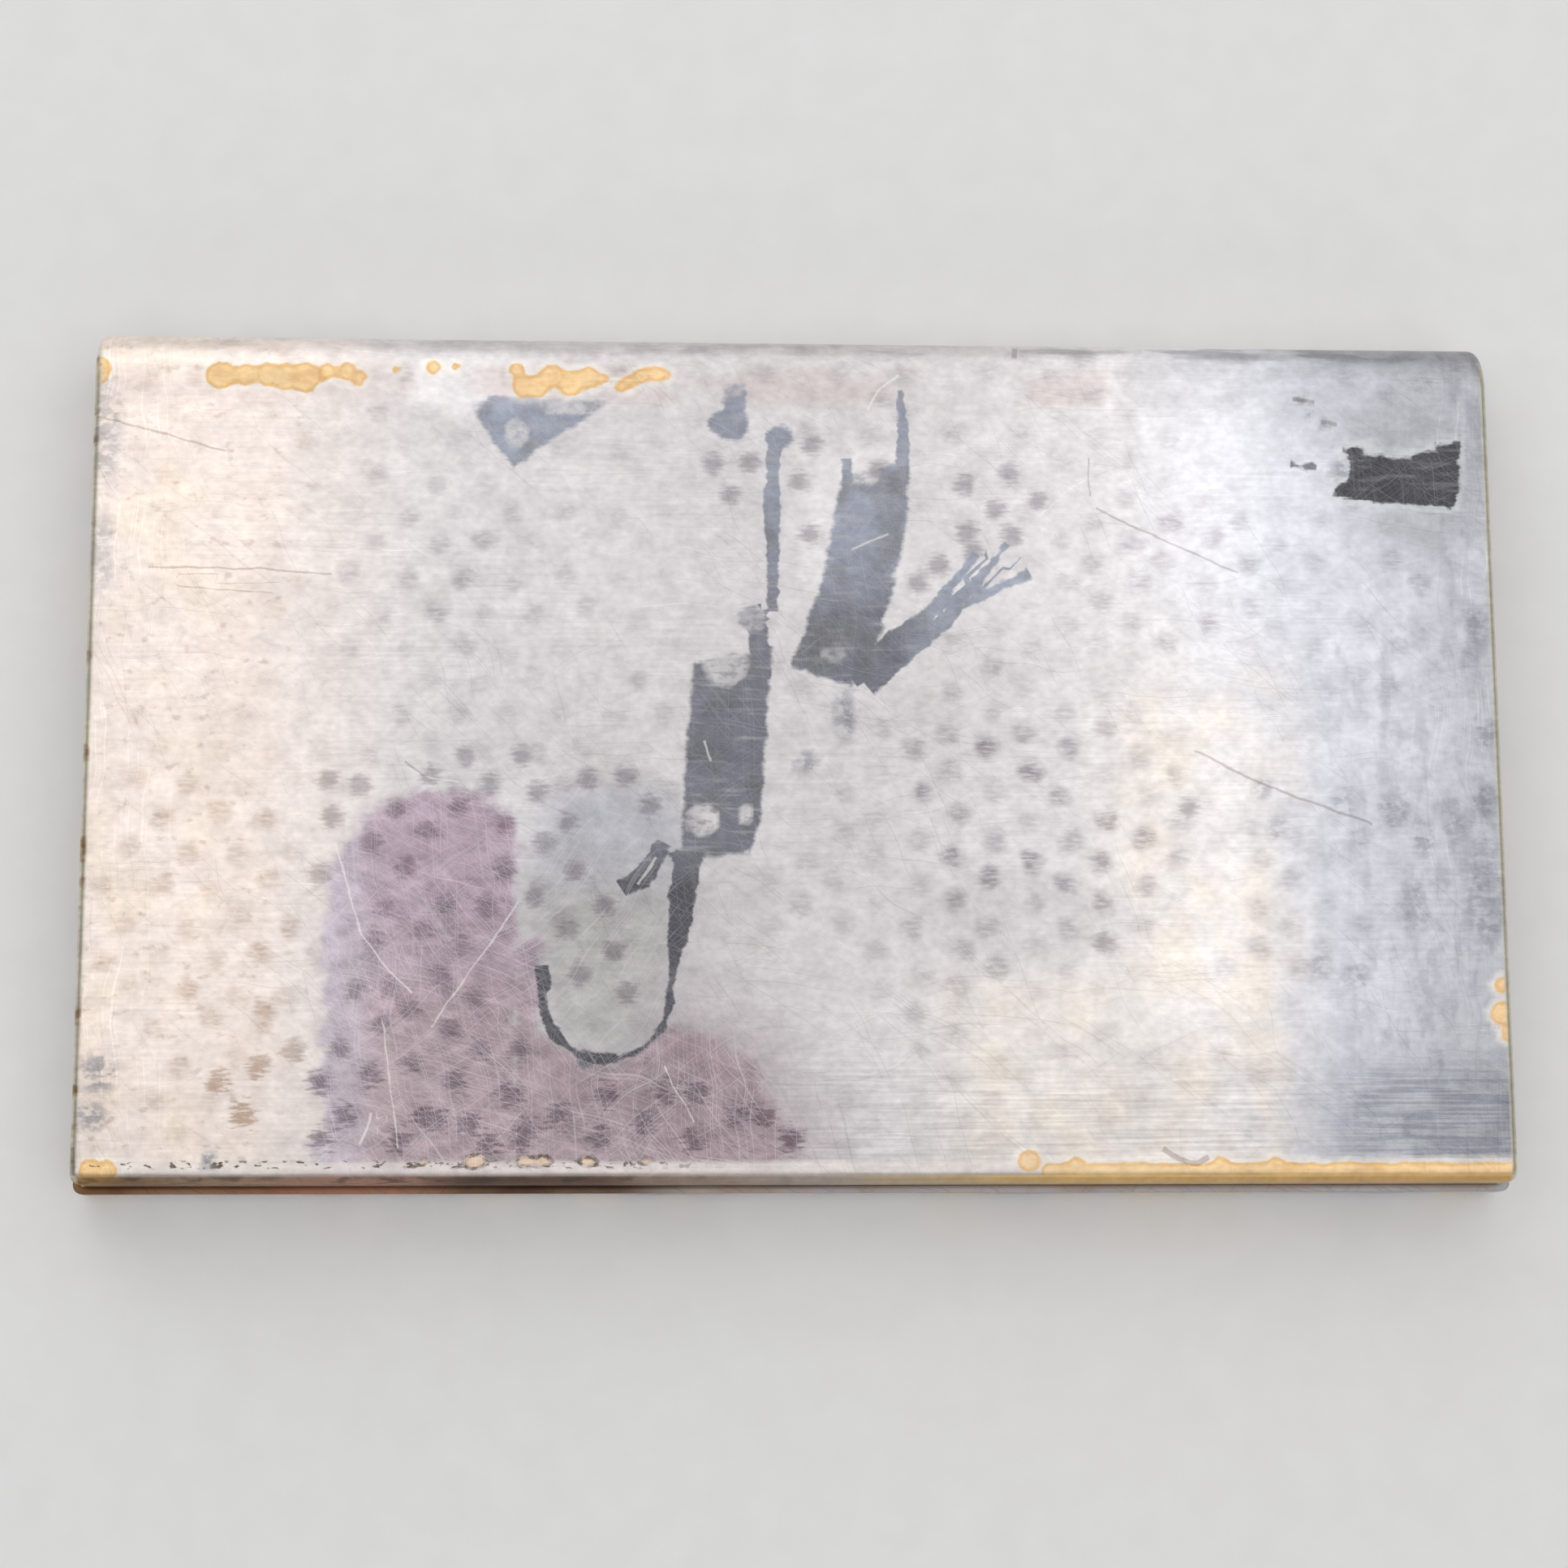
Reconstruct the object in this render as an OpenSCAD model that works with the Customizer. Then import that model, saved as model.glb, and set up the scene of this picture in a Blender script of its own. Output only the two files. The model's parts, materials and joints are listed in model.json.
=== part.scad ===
// Business card case: a slim clamshell of silver-plated brass sheet with a round spine.
// It lies on its base: +X runs along the spine, +Y points at the hinge, +Z is up.
// The origin is the middle of the underside.

/* [Case] */
// Width of the base along the spine
case_w = 95; // [92:0.5:104]
// Depth from the front lip to the back of the spine
case_d = 58; // [55:0.5:66]
// Closed height, which is also twice the radius of the spine
case_h = 7.4; // [7.2:0.1:8.4]
// Thickness of the brass sheet
sheet = 0.5; // [0.4:0.05:0.55]
// Radius of the upright front corners
corner_r = 0.6; // [0.6:0.1:1.2]
// Radius rolled along the front edges
front_roll = 0.9; // [0.8:0.1:1.2]

/* [Lid] */
// How far the front lip of the base stands out past the lid
lip_out = 0.5; // [0.3:0.1:0.7]
// How far each end of the base stands out past the lid
end_out = 0.3; // [0.2:0.1:0.4]
// Height of the seam between the lid and the base
seam = 0.12; // [0.08:0.02:0.2]

/* [Hinge] */
// Outer radius of the hinge barrel
barrel_r = 1; // [0.9:0.05:1.1]
// Radius of the steel hinge pin
pin_r = 0.5; // [0.4:0.05:0.55]
// Radial clearance round a turning pin
running = 0.05; // [0.02:0.01:0.08]
// Gap between one knuckle and the next
knuckle_gap = 0.1; // [0.05:0.05:0.3]

/* [Bezel] */
// Thickness of the upright strip that the lid closes over
bezel_t = 0.35; // [0.3:0.05:0.45]
// Height of that strip above the seam
bezel_h = 0.9; // [0.7:0.1:1.2]
// Gap between the strip and the lid
bezel_gap = 0.1; // [0.08:0.02:0.16]

/* [Card guard] */
// Width of the sprung plate that holds the cards down
guard_w = 22; // [18:1:28]
// Length of the plate from its pin to its finger lip
guard_l = 31; // [26:1:34]
// Thickness of the plate
guard_t = 0.45; // [0.4:0.05:0.5]
// Slope of the plate down to the floor when the case is empty, in degrees
guard_slope = 1.1; // [0.9:0.1:1.3]

/* [Hidden] */
$fn = 64;
tiny = 0.01;
// How far a cutting shape reaches past the piece it cuts
past = 2;

// Shells
spine_r = case_h / 2;
spine_y = case_d / 2 - spine_r;
part_z = case_h / 2;
base_front = -case_d / 2;
lid_w = case_w - 2 * end_out;
lid_front = base_front + lip_out;
base_top = part_z - seam / 2;
lid_bottom = part_z + seam / 2;

// Hinge: seven knuckles, of which the base holds the odd ones and the lid the even ones
hinge_y = case_d / 2 - barrel_r;
sweep_room = 0.14;
sweep_r = barrel_r + sweep_room;
slot_h = 1.1;
bearer_r = 2 * barrel_r;
knuckles = 7;
hinge_end = 0.2;
hinge_l = lid_w - 2 * hinge_end;
knuckle_l = (hinge_l - (knuckles - 1) * knuckle_gap) / knuckles;

// Bezel
bezel_in = bezel_gap + bezel_t;
bezel_stop = 1.3;
bezel_back = spine_y - bezel_stop;
bezel_foot = 1.7;
bezel_low = part_z - bezel_foot;
bezel_corner_r = 0.1;
bezel_y = lid_front + sheet + bezel_in;

// Catch
catch_w = 10;
notch_w = catch_w + 4;
ledge_w = catch_w + 2;
ledge_t = 0.4;
ledge_h = 0.45;
ledge_lift = 0.2;
ledge_z = lid_bottom + ledge_lift;
leaf_t = 0.25;
leaf_w = catch_w + 12;
leaf_lift = 0.2;
leaf_low = bezel_low + leaf_lift;
leaf_h = 1.3;
nose_r = 0.3;
nose_play = 0.05;
nose_z = ledge_z + ledge_h + nose_r + nose_play;
rivet_r = 0.4;
rivet_x = 9;
rivet_z = leaf_low + leaf_h / 2;
rivet_head_r = 0.55;
rivet_head_h = 0.3;

// Card guard
guard_in = 3.8;
guard_y = spine_y - guard_in;
guard_z = 2.3;
guard_pin_r = 0.45;
guard_tube_r = 1.1;
guard_tube_l = 5;
tube_rest = 0.5;
guard_notch = guard_w - 2 * (guard_tube_l + tube_rest);
guard_notch_d = 1.6;
bracket_t = 0.6;
bracket_play = 0.3;
bracket_x = guard_w / 2 + bracket_play;
bracket_r = 1.1;
bracket_foot = 2.6;
guard_pin_l = 2 * (bracket_x + bracket_t);
lip_w = 14;
lip_in_r = 0.5;
lip_rise = 0.35;
corner_cut = 3;
wire_r = 0.17;
coil_r = 0.8;
coil_turns = 9;
coil_pitch = 0.38;
coil_swell = 0.04;
coil_x = 1.2;
upper_leg = 7;
upper_lift = 1.5 * wire_r;
floor_leg = 3.4;
floor_lift = 1.2 * wire_r;

silver = "gainsboro";
gilt = "burlywood";
steel = "slategray";

// ---- Shapes that several parts share ----

// Turns a side view, drawn as y and z, into a bar of width w along X
module bar_x(w) {
    rotate([90, 0, 90])
        translate([0, 0, -w / 2])
            linear_extrude(w)
                children();
}

// A rod along X through the given y and z, centred on x
module rod_x(r, l, y, z, x = 0) {
    translate([x, y, z])
        rotate([0, 90, 0])
            cylinder(r = r, h = l, center = true);
}

// Side view of the closed case: a round spine, flat faces and rolled front edges
module side_view(front, inset) {
    r = spine_r - inset;
    roll = front_roll - min(inset, sheet);
    y0 = front + inset;
    translate([spine_y, spine_r])
        circle(r = r);
    translate([y0 + roll, inset])
        square([spine_y - y0 - roll, 2 * r]);
    translate([y0, inset + roll])
        square([2 * roll, 2 * (r - roll)]);
    for (z = [inset + roll, case_h - inset - roll])
        translate([y0 + roll, z])
            circle(r = roll);
}

// Top view: two small front corners, and open ended past the spine
module plan_view(half_w, y0, r) {
    translate([-half_w, y0 + r])
        square([2 * half_w, case_d + past]);
    translate([-half_w + r, y0])
        square([2 * (half_w - r), 2 * r]);
    for (side = [-1, 1])
        translate([side * (half_w - r), y0 + r])
            circle(r = r);
}

// The whole closed form of a shell, drawn in by inset from its outer faces
module closed_form(w, front, inset) {
    intersection() {
        bar_x(w + past)
            side_view(front, inset);
        translate([0, 0, -past])
            linear_extrude(case_h + 2 * past)
                plan_view(w / 2 - inset, front + inset, corner_r - inset);
    }
}

// Everything below or above the seam
module below_seam() {
    translate([-case_w, -case_d, -past])
        cube([2 * case_w, 2 * case_d, base_top + past]);
}

module above_seam() {
    translate([-case_w, -case_d, lid_bottom])
        cube([2 * case_w, 2 * case_d, case_h]);
}

// Room for the barrel to turn, and the slot it shows through at the back
module hinge_room() {
    rod_x(sweep_r, case_w + 2 * past, hinge_y, part_z);
    translate([-case_w / 2 - past, hinge_y, part_z - slot_h])
        cube([case_w + 2 * past, case_d, 2 * slot_h]);
}

// One sheet shell, before it is cut at the seam
module sheet_shell(w, front) {
    difference() {
        closed_form(w, front, 0);
        closed_form(w, front, sheet);
        hinge_room();
    }
}

// Half-round saddle that the barrel is soldered into
module saddle(w, front) {
    difference() {
        intersection() {
            bar_x(w - 2 * sheet)
                side_view(front, sheet);
            rod_x(bearer_r, w - 2 * sheet, hinge_y, part_z);
        }
        hinge_room();
    }
}

// Place of knuckle number i along the barrel, counted from 0 at the left
function knuckle_x(i) = -hinge_l / 2 + knuckle_l / 2 + i * (knuckle_l + knuckle_gap);

// A knuckle is a tube with a solder fillet on the side where its own saddle lies
module knuckle(i, above, bore) {
    fillet_z = above ? seam / 2 : -bearer_r;
    translate([knuckle_x(i), 0, 0])
        bar_x(knuckle_l)
            translate([hinge_y, part_z])
                difference() {
                    union() {
                        circle(r = barrel_r);
                        intersection() {
                            circle(r = sweep_r);
                            translate([-bearer_r, fillet_z])
                                square([bearer_r, bearer_r - seam / 2]);
                        }
                    }
                    circle(r = bore);
                }
}

// ---- Base ----

module base_shell() {
    color(silver)
        intersection() {
            sheet_shell(case_w, base_front);
            below_seam();
        }
}

// Outline of the strip's inner face, or of a face set out from it
module bezel_plan(out) {
    plan_view(lid_w / 2 - sheet - bezel_in + out, bezel_y - out, bezel_corner_r + out / 2);
}

// Holes for the two rivets, through the bezel and the leaf
module rivet_holes() {
    for (x = [-rivet_x, rivet_x])
        translate([x, bezel_y + past, rivet_z])
            rotate([90, 0, 0])
                cylinder(r = rivet_r, h = 3 * past);
}

// Stepped strip round three sides: its foot fills the base's rim, its blade stands in the lid
module base_bezel() {
    color(gilt)
        difference() {
            union() {
                translate([0, 0, bezel_low])
                    linear_extrude(base_top - bezel_low)
                        plan_view(case_w / 2 - sheet, base_front + sheet, corner_r - sheet);
                translate([0, 0, base_top - tiny])
                    linear_extrude(bezel_h + tiny)
                        bezel_plan(bezel_t);
            }
            translate([0, 0, bezel_low - past])
                linear_extrude(case_h)
                    bezel_plan(0);
            translate([-case_w, bezel_back, 0])
                cube([2 * case_w, case_d, case_h]);
            translate([-notch_w / 2, base_front, base_top])
                cube([notch_w, bezel_y - base_front + past, case_h]);
            rivet_holes();
        }
}

module base_hinge_bearer() {
    color(gilt)
        intersection() {
            saddle(case_w, base_front);
            below_seam();
        }
}

// The two end knuckles grip the pin, and the rest run on it
module base_knuckle(n) {
    end = n == 1 || n == 4;
    color(silver)
        knuckle(2 * (n - 1), false, end ? pin_r : pin_r + running);
}

module hinge_pin() {
    color(steel)
        rod_x(pin_r, hinge_l, hinge_y, part_z);
}

// Leaf riveted inside the front of the bezel, with a nose that snaps over the lid's ledge
module catch_spring() {
    color(steel)
        difference() {
            union() {
                translate([-leaf_w / 2, bezel_y, leaf_low])
                    cube([leaf_w, leaf_t, leaf_h]);
                translate([-catch_w / 2, bezel_y, leaf_low])
                    cube([catch_w, leaf_t, nose_z - leaf_low]);
                rod_x(nose_r, catch_w, bezel_y, nose_z);
            }
            rivet_holes();
        }
}

module catch_rivets() {
    color(gilt)
        for (x = [-rivet_x, rivet_x])
            translate([x, bezel_y + leaf_t, rivet_z])
                rotate([90, 0, 0]) {
                    cylinder(r = rivet_r, h = bezel_y + leaf_t - base_front - sheet);
                    translate([0, 0, -rivet_head_h])
                        cylinder(r1 = rivet_r, r2 = rivet_head_r, h = rivet_head_h);
                }
}

// ---- Card guard ----

// Bent bracket: a foot soldered to the floor and an ear that carries the guard's pin
module guard_bracket(side) {
    ear_x = side * (bracket_x + bracket_t / 2);
    foot_x = side * (bracket_x + bracket_foot / 2);
    color(gilt)
        difference() {
            union() {
                rod_x(bracket_r, bracket_t, guard_y, guard_z, ear_x);
                translate([ear_x - bracket_t / 2, guard_y - bracket_r, sheet])
                    cube([bracket_t, 2 * bracket_r, guard_z - sheet]);
                translate([foot_x - bracket_foot / 2, guard_y - bracket_foot / 2, sheet])
                    cube([bracket_foot, bracket_foot, bracket_t]);
            }
            rod_x(guard_pin_r, case_w, guard_y, guard_z);
        }
}

module guard_pin() {
    color(steel)
        rod_x(guard_pin_r, guard_pin_l, guard_y, guard_z);
}

// A close-wound coil round the pin, with one leg on the floor and one on the plate
module guard_spring(side) {
    coil_l = (coil_turns - 1) * coil_pitch;
    near_x = side * coil_x;
    far_x = side * (coil_x + coil_l);
    plate_top = guard_z - guard_tube_r + guard_t - upper_leg * sin(guard_slope);
    fall = atan2(guard_z + coil_r - plate_top - upper_lift, upper_leg);
    rise = atan2(guard_z - coil_r - sheet - floor_lift, floor_leg);
    color(steel)
        translate([0, guard_y, guard_z]) {
            translate([side > 0 ? near_x : far_x, 0, 0])
                rotate([0, 90, 0])
                    rotate_extrude() {
                        for (turn = [0:coil_turns - 1])
                            translate([coil_r, turn * coil_pitch])
                                circle(r = wire_r + coil_swell);
                    }
            translate([near_x, 0, coil_r])
                rotate([90 + fall, 0, 0])
                    cylinder(r = wire_r, h = upper_leg / cos(fall));
            translate([far_x, 0, -coil_r])
                rotate([-90 - rise, 0, 0])
                    cylinder(r = wire_r, h = floor_leg / cos(rise));
        }
}

// The plate is drawn level, with its pin as the origin, and then tipped down onto the floor
module on_guard() {
    translate([0, guard_y, guard_z])
        rotate([guard_slope, 0, 0])
            children();
}

module guard_plate() {
    half = guard_w / 2;
    color(gilt)
        on_guard() {
            difference() {
                translate([0, 0, -guard_tube_r])
                    linear_extrude(guard_t)
                        polygon([
                            [-half, guard_tube_r], [half, guard_tube_r],
                            [half, -guard_l + corner_cut], [lip_w / 2, -guard_l],
                            [-lip_w / 2, -guard_l], [-half, -guard_l + corner_cut],
                        ]);
                translate([-guard_notch / 2, -guard_notch_d, -2 * guard_tube_r])
                    cube([guard_notch, guard_notch_d + guard_tube_r + past, 4 * guard_tube_r]);
            }
            bar_x(lip_w)
                intersection() {
                    translate([-guard_l, lip_in_r + guard_t - guard_tube_r])
                        difference() {
                            circle(r = lip_in_r + guard_t);
                            circle(r = lip_in_r);
                        }
                    translate([-guard_l - past, -guard_tube_r])
                        square([past, lip_in_r + guard_t + lip_rise]);
                }
        }
}

// Tube soldered on the back edge of the plate, flat underneath
module guard_tube(side) {
    x = side * (guard_w / 2 - guard_tube_l / 2);
    color(gilt)
        on_guard()
            difference() {
                rod_x(guard_tube_r, guard_tube_l, 0, 0, x);
                rod_x(guard_pin_r + running, guard_tube_l + past, 0, 0, x);
                translate([x - guard_tube_l, -past, -2 * guard_tube_r])
                    cube([2 * guard_tube_l, 2 * past, guard_tube_r + guard_t]);
            }
}

// ---- Lid ----

module lid_shell() {
    color(silver)
        intersection() {
            sheet_shell(lid_w, lid_front);
            above_seam();
        }
}

module lid_hinge_bearer() {
    color(gilt)
        intersection() {
            saddle(lid_w, lid_front);
            above_seam();
        }
}

module lid_knuckle(n) {
    color(silver)
        knuckle(2 * n - 1, true, pin_r + running);
}

// Bar soldered inside the lid's front wall
module catch_ledge() {
    color(gilt)
        translate([-ledge_w / 2, lid_front + sheet, ledge_z])
            cube([ledge_w, ledge_t, ledge_h]);
}

base_shell();
base_bezel();
base_hinge_bearer();
base_knuckle(1);  // base_knuckle_1
base_knuckle(2);  // base_knuckle_2
base_knuckle(3);  // base_knuckle_3
base_knuckle(4);  // base_knuckle_4
hinge_pin();
catch_spring();
catch_rivets();
guard_bracket(-1);  // guard_bracket_left
guard_bracket(1);  // guard_bracket_right
guard_pin();
guard_spring(-1);  // guard_spring_left
guard_spring(1);  // guard_spring_right
lid_shell();
lid_hinge_bearer();
lid_knuckle(1);  // lid_knuckle_1
lid_knuckle(2);  // lid_knuckle_2
lid_knuckle(3);  // lid_knuckle_3
catch_ledge();
guard_plate();
guard_tube(-1);  // guard_tube_left
guard_tube(1);  // guard_tube_right
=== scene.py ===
# %% [markdown]
# # A worn silver-plated card case
# The case is two shallow brass shells that close like a clam. A hinge runs down a round spine at the
# back, and inside are a bezel with a snap catch and a sprung plate that holds the cards. The working
# parts were designed first and come in as a fixed frame, in metres. This lesson gives them their real
# surfaces.

# %% Load the frame
import json
import math

import bmesh
import bpy
import numpy as np
from mathutils import Matrix, Vector


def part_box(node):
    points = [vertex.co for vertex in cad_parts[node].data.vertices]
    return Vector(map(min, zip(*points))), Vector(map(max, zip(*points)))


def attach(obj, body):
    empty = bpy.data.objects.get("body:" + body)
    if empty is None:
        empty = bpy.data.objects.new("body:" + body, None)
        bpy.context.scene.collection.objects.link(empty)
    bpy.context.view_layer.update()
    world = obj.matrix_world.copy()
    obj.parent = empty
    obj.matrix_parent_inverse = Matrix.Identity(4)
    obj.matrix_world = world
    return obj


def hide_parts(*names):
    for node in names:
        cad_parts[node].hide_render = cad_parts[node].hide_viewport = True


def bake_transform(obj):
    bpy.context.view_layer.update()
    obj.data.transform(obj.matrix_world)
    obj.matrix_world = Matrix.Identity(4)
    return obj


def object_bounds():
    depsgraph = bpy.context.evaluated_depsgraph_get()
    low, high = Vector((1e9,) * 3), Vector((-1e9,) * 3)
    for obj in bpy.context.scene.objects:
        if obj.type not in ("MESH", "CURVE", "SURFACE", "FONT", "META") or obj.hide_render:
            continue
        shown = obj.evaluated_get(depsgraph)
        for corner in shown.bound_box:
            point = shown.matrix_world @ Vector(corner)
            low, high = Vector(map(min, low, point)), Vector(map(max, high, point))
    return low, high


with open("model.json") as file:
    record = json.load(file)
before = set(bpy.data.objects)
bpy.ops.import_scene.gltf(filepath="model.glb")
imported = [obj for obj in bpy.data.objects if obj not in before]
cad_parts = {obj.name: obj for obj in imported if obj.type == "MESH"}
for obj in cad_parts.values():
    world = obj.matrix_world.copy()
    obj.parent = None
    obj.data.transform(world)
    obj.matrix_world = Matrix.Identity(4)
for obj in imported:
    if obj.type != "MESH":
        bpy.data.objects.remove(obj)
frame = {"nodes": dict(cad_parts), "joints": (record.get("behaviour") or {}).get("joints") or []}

cad_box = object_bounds()

# %% [markdown]
# Everything is measured from the frame, so nothing here has to be fitted. A sheet-metal worker would put
# callipers on the two halves, so that is what the next cell does. Lengths are in millimetres.

# %% Measure the two halves
MM = 0.001


def metres(*values):
    return tuple(v * MM for v in values)


def edges_of(node):
    low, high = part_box(node)
    return Vector(low) / MM, Vector(high) / MM


lid_low, lid_high = edges_of("lid_shell")
base_low, base_high = edges_of("base_shell")
ledge_low = edges_of("catch_ledge")[0]
hinge = next(j for j in frame["joints"] if j["name"] == "lid_hinge")
hinge_y = hinge["pos_m"][1] / MM
part_z = hinge["pos_m"][2] / MM
sheet = ledge_low.y - lid_low.y
spine_r = lid_high.z / 2
back_y = cad_box[1][1] / MM
spine_y = back_y - spine_r
half_seam = lid_low.z - part_z
print(f"sheet {sheet:.2f} mm, spine radius {spine_r:.2f} mm, hinge at y {hinge_y:.2f} mm")

# %% [markdown]
# The camera looks almost straight down at the lid, a little from the front and from the left. Its
# distance decides how strongly the spine side shrinks, so the distance matters as much as the direction.

# %% Set up the camera
LENS = 74.5
SENSOR = 36.0
TILT_X, TILT_Y, ROLL = (math.radians(a) for a in (-9.7, 3.0, -0.25))
EYE_DISTANCE = 219.0
EYE_SHIFT = Vector((0.89, 1.61, 0.0))


def add_camera():
    turn = Matrix.Rotation(ROLL, 3, "Z") @ Matrix.Rotation(TILT_Y, 3, "Y") @ Matrix.Rotation(TILT_X, 3, "X")
    eye = turn.transposed() @ (Vector((0, 0, EYE_DISTANCE)) - EYE_SHIFT) + Vector((0, 0, part_z))
    data = bpy.data.cameras.new("camera")
    data.lens = LENS
    data.sensor_width = SENSOR
    data.clip_start = 0.01
    camera = bpy.data.objects.new("camera", data)
    camera.matrix_world = Matrix.Translation(eye * MM) @ turn.transposed().to_4x4()
    bpy.context.scene.collection.objects.link(camera)
    bpy.context.scene.camera = camera
    return camera


camera = add_camera()
print("camera at", [round(v / MM, 1) for v in camera.location])

# %% [markdown]
# A shell is one sheet, so it is drawn as one surface and given its thickness afterwards. Seen from its
# end, the sheet runs up the front wall, over a small roll, flat across the face and round the spine to
# the slot that the hinge barrel shows through. `side_line` gives that line, and also the same line drawn
# inwards, which is how the rolled end edges are made.

# %% The line of a shell seen from its end
SLOT_H = 1.1
FRONT_ROLL = 0.9
STEP = 0.45


def arc(centre, radius, start, end, steps):
    return [
        (centre[0] + radius * math.cos(a), centre[1] + radius * math.sin(a))
        for a in (math.radians(start + (end - start) * i / steps) for i in range(steps + 1))
    ]


def side_line(front, inset):
    """(y, z) points with z counted from the seam's middle, from the front edge to the hinge slot."""
    r = spine_r - inset
    roll = FRONT_ROLL - inset
    y0 = front + inset
    wall = [(y0, half_seam + (r - roll - half_seam) * i / 5) for i in range(5)]
    flat_steps = round((spine_y - y0 - roll) / STEP)
    flat = [(y0 + roll + (spine_y - y0 - roll) * i / flat_steps, r) for i in range(1, flat_steps)]
    last = math.degrees(math.asin(SLOT_H / r))
    bend = arc((y0 + roll, r - roll), roll, 180, 90, 8)
    return wall + bend + flat + arc((spine_y, 0), r, 90, last, 22)


print(len(side_line(lid_low.y, 0)), "points round a shell")

# %% [markdown]
# Hand-held brass this thin is never flat. A few long, shallow waves and four soft dents are added to the
# face now, as real geometry, because they bend the reflections in a way that a bump pattern can't.

# %% Waves and dents in the sheet
# x, y, reach and depth of each dent
DENTS = [(28, 8, 9, -0.07), (-20, -12, 11, -0.06), (5, 20, 7, -0.04), (38, -19, 6, -0.05)]


def sag(x, y):
    """How far the face stands above or below flat, in millimetres."""
    waves = 0.022 * math.sin(x / 8.3 + 0.7) * math.sin(y / 9.1 + 1.9) + 0.015 * math.sin(x / 17 - y / 13)
    for centre_x, centre_y, size, depth in DENTS:
        away = math.hypot(x - centre_x, y - centre_y) / size
        waves += depth * math.exp(-2.4 * away * away)
    return waves


print(f"the face moves {sag(28, 8):.3f} mm in the middle of the first dent")

# %% [markdown]
# Each column of points is the side line at one place along the spine. The last few columns at each end
# shrink along a quarter circle, which rolls the sheet over into the end wall. The end wall is one flat
# face with a bite out of it where the hinge barrel turns.

# %% Draw a shell and give it its thickness
END_ROLL = 0.6
ROLL_STEPS = 5
SWEEP_R = 1.14
RIM_BEVEL = 0.07
FACE_DROP = 0.04


def hinge_bite():
    """(y, z) points of the end wall's edge under the barrel, from the slot round to the seam."""
    start = math.degrees(math.asin(SLOT_H / SWEEP_R))
    end = 180 - math.degrees(math.asin(half_seam / SWEEP_R))
    return arc((hinge_y, 0), SWEEP_R, start, end, 10)


def columns(half, front):
    """(x, side line) for every column from one end of the shell to the other."""
    flat_half = half - END_ROLL
    count = round(2 * flat_half / STEP)
    middle = [(-flat_half + 2 * flat_half * i / count, side_line(front, 0)) for i in range(count + 1)]
    rolled = []
    for i in range(1, ROLL_STEPS + 1):
        a = math.pi / 2 * i / ROLL_STEPS
        rolled.append((flat_half + END_ROLL * math.sin(a), side_line(front, END_ROLL * (1 - math.cos(a)))))
    return [(-x, line) for x, line in reversed(rolled)] + middle + rolled


def ramp(value, start, end):
    return min(max((value - start) / (end - start), 0), 1)


def place(x, y, z, up):
    """A point of the upper shell, or of the lower one if up is -1, in metres."""
    fade = ramp(47 - abs(x), 0, 6) * ramp(y, lid_low.y, lid_low.y + 5) * ramp(back_y - y, 1, 6)
    wave = (sag(x, y * up) - FACE_DROP) * fade * ramp(z, spine_r - 1, spine_r)
    return Vector((x, y, part_z + up * (z + wave))) * MM


def shell_mesh(name, half, front, up):
    cols = columns(half, front)
    bm = bmesh.new()
    grid = [[bm.verts.new(place(x, y, z, up)) for y, z in line] for x, line in cols]
    for a, b in zip(grid, grid[1:]):
        for i in range(len(a) - 1):
            bm.faces.new((a[i], a[i + 1], b[i + 1], b[i]))
    for col, x in ((grid[0], -half), (grid[-1], half)):
        bite = [bm.verts.new(place(x, y, z, up)) for y, z in hinge_bite()]
        bm.faces.new(col + bite)
    bmesh.ops.recalc_face_normals(bm, faces=bm.faces)
    top = max(bm.faces, key=lambda f: up * f.calc_center_median().z)
    if up * top.normal.z < 0:
        bmesh.ops.reverse_faces(bm, faces=bm.faces)
    mesh = bpy.data.meshes.new(name)
    bm.to_mesh(mesh)
    bm.free()
    return mesh


def add_object(name, mesh):
    obj = bpy.data.objects.new(name, mesh)
    bpy.context.scene.collection.objects.link(obj)
    return obj


def modifier(obj, kind, **settings):
    mod = obj.modifiers.new(kind.lower(), kind)
    for key, value in settings.items():
        setattr(mod, key, value)
    return mod


def finish_mesh(obj, sharp_angle=38):
    """Makes the modifiers part of the mesh, and shades it smooth except across real edges."""
    graph = bpy.context.evaluated_depsgraph_get()
    done = bpy.data.meshes.new_from_object(obj.evaluated_get(graph))
    obj.modifiers.clear()
    obj.data = done
    done.name = obj.name
    done.shade_smooth()
    done.set_sharp_from_angle(angle=math.radians(sharp_angle))
    return obj


def soften(obj, width):
    modifier(
        obj, "BEVEL", width=width * MM, segments=2, limit_method="ANGLE",
        angle_limit=math.radians(50), harden_normals=False, use_clamp_overlap=True,
    )


def shell(name, half, front, up, outer, inner, rim):
    obj = add_object(name, shell_mesh(name, half, front, up))
    for material in (outer, inner, rim):
        obj.data.materials.append(material)
    modifier(
        obj, "SOLIDIFY", thickness=sheet * MM, offset=-1, use_even_offset=True, use_rim=True,
        material_offset=1, material_offset_rim=2,
    )
    soften(obj, RIM_BEVEL)
    return finish_mesh(obj)


# %% [markdown]
# ## Finishes
# A finish here is a sum of patterns, like the real one: plating, tarnish, dirt, scratches, then wear.
# `Wire` is a value travelling between shader nodes, with the usual arithmetic signs, so that a pattern
# can be written as a line of sums. `Finish` holds one material and has a single method that adds any
# node.

# %% Wires and finishes
def srgb(red, green, blue):
    """A colour as a paint chart gives it, 0 to 255, turned into the linear values that light adds up in."""
    def linear(v):
        v /= 255
        return v / 12.92 if v <= 0.04045 else ((v + 0.055) / 1.055) ** 2.4
    return (linear(red), linear(green), linear(blue), 1)


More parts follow.
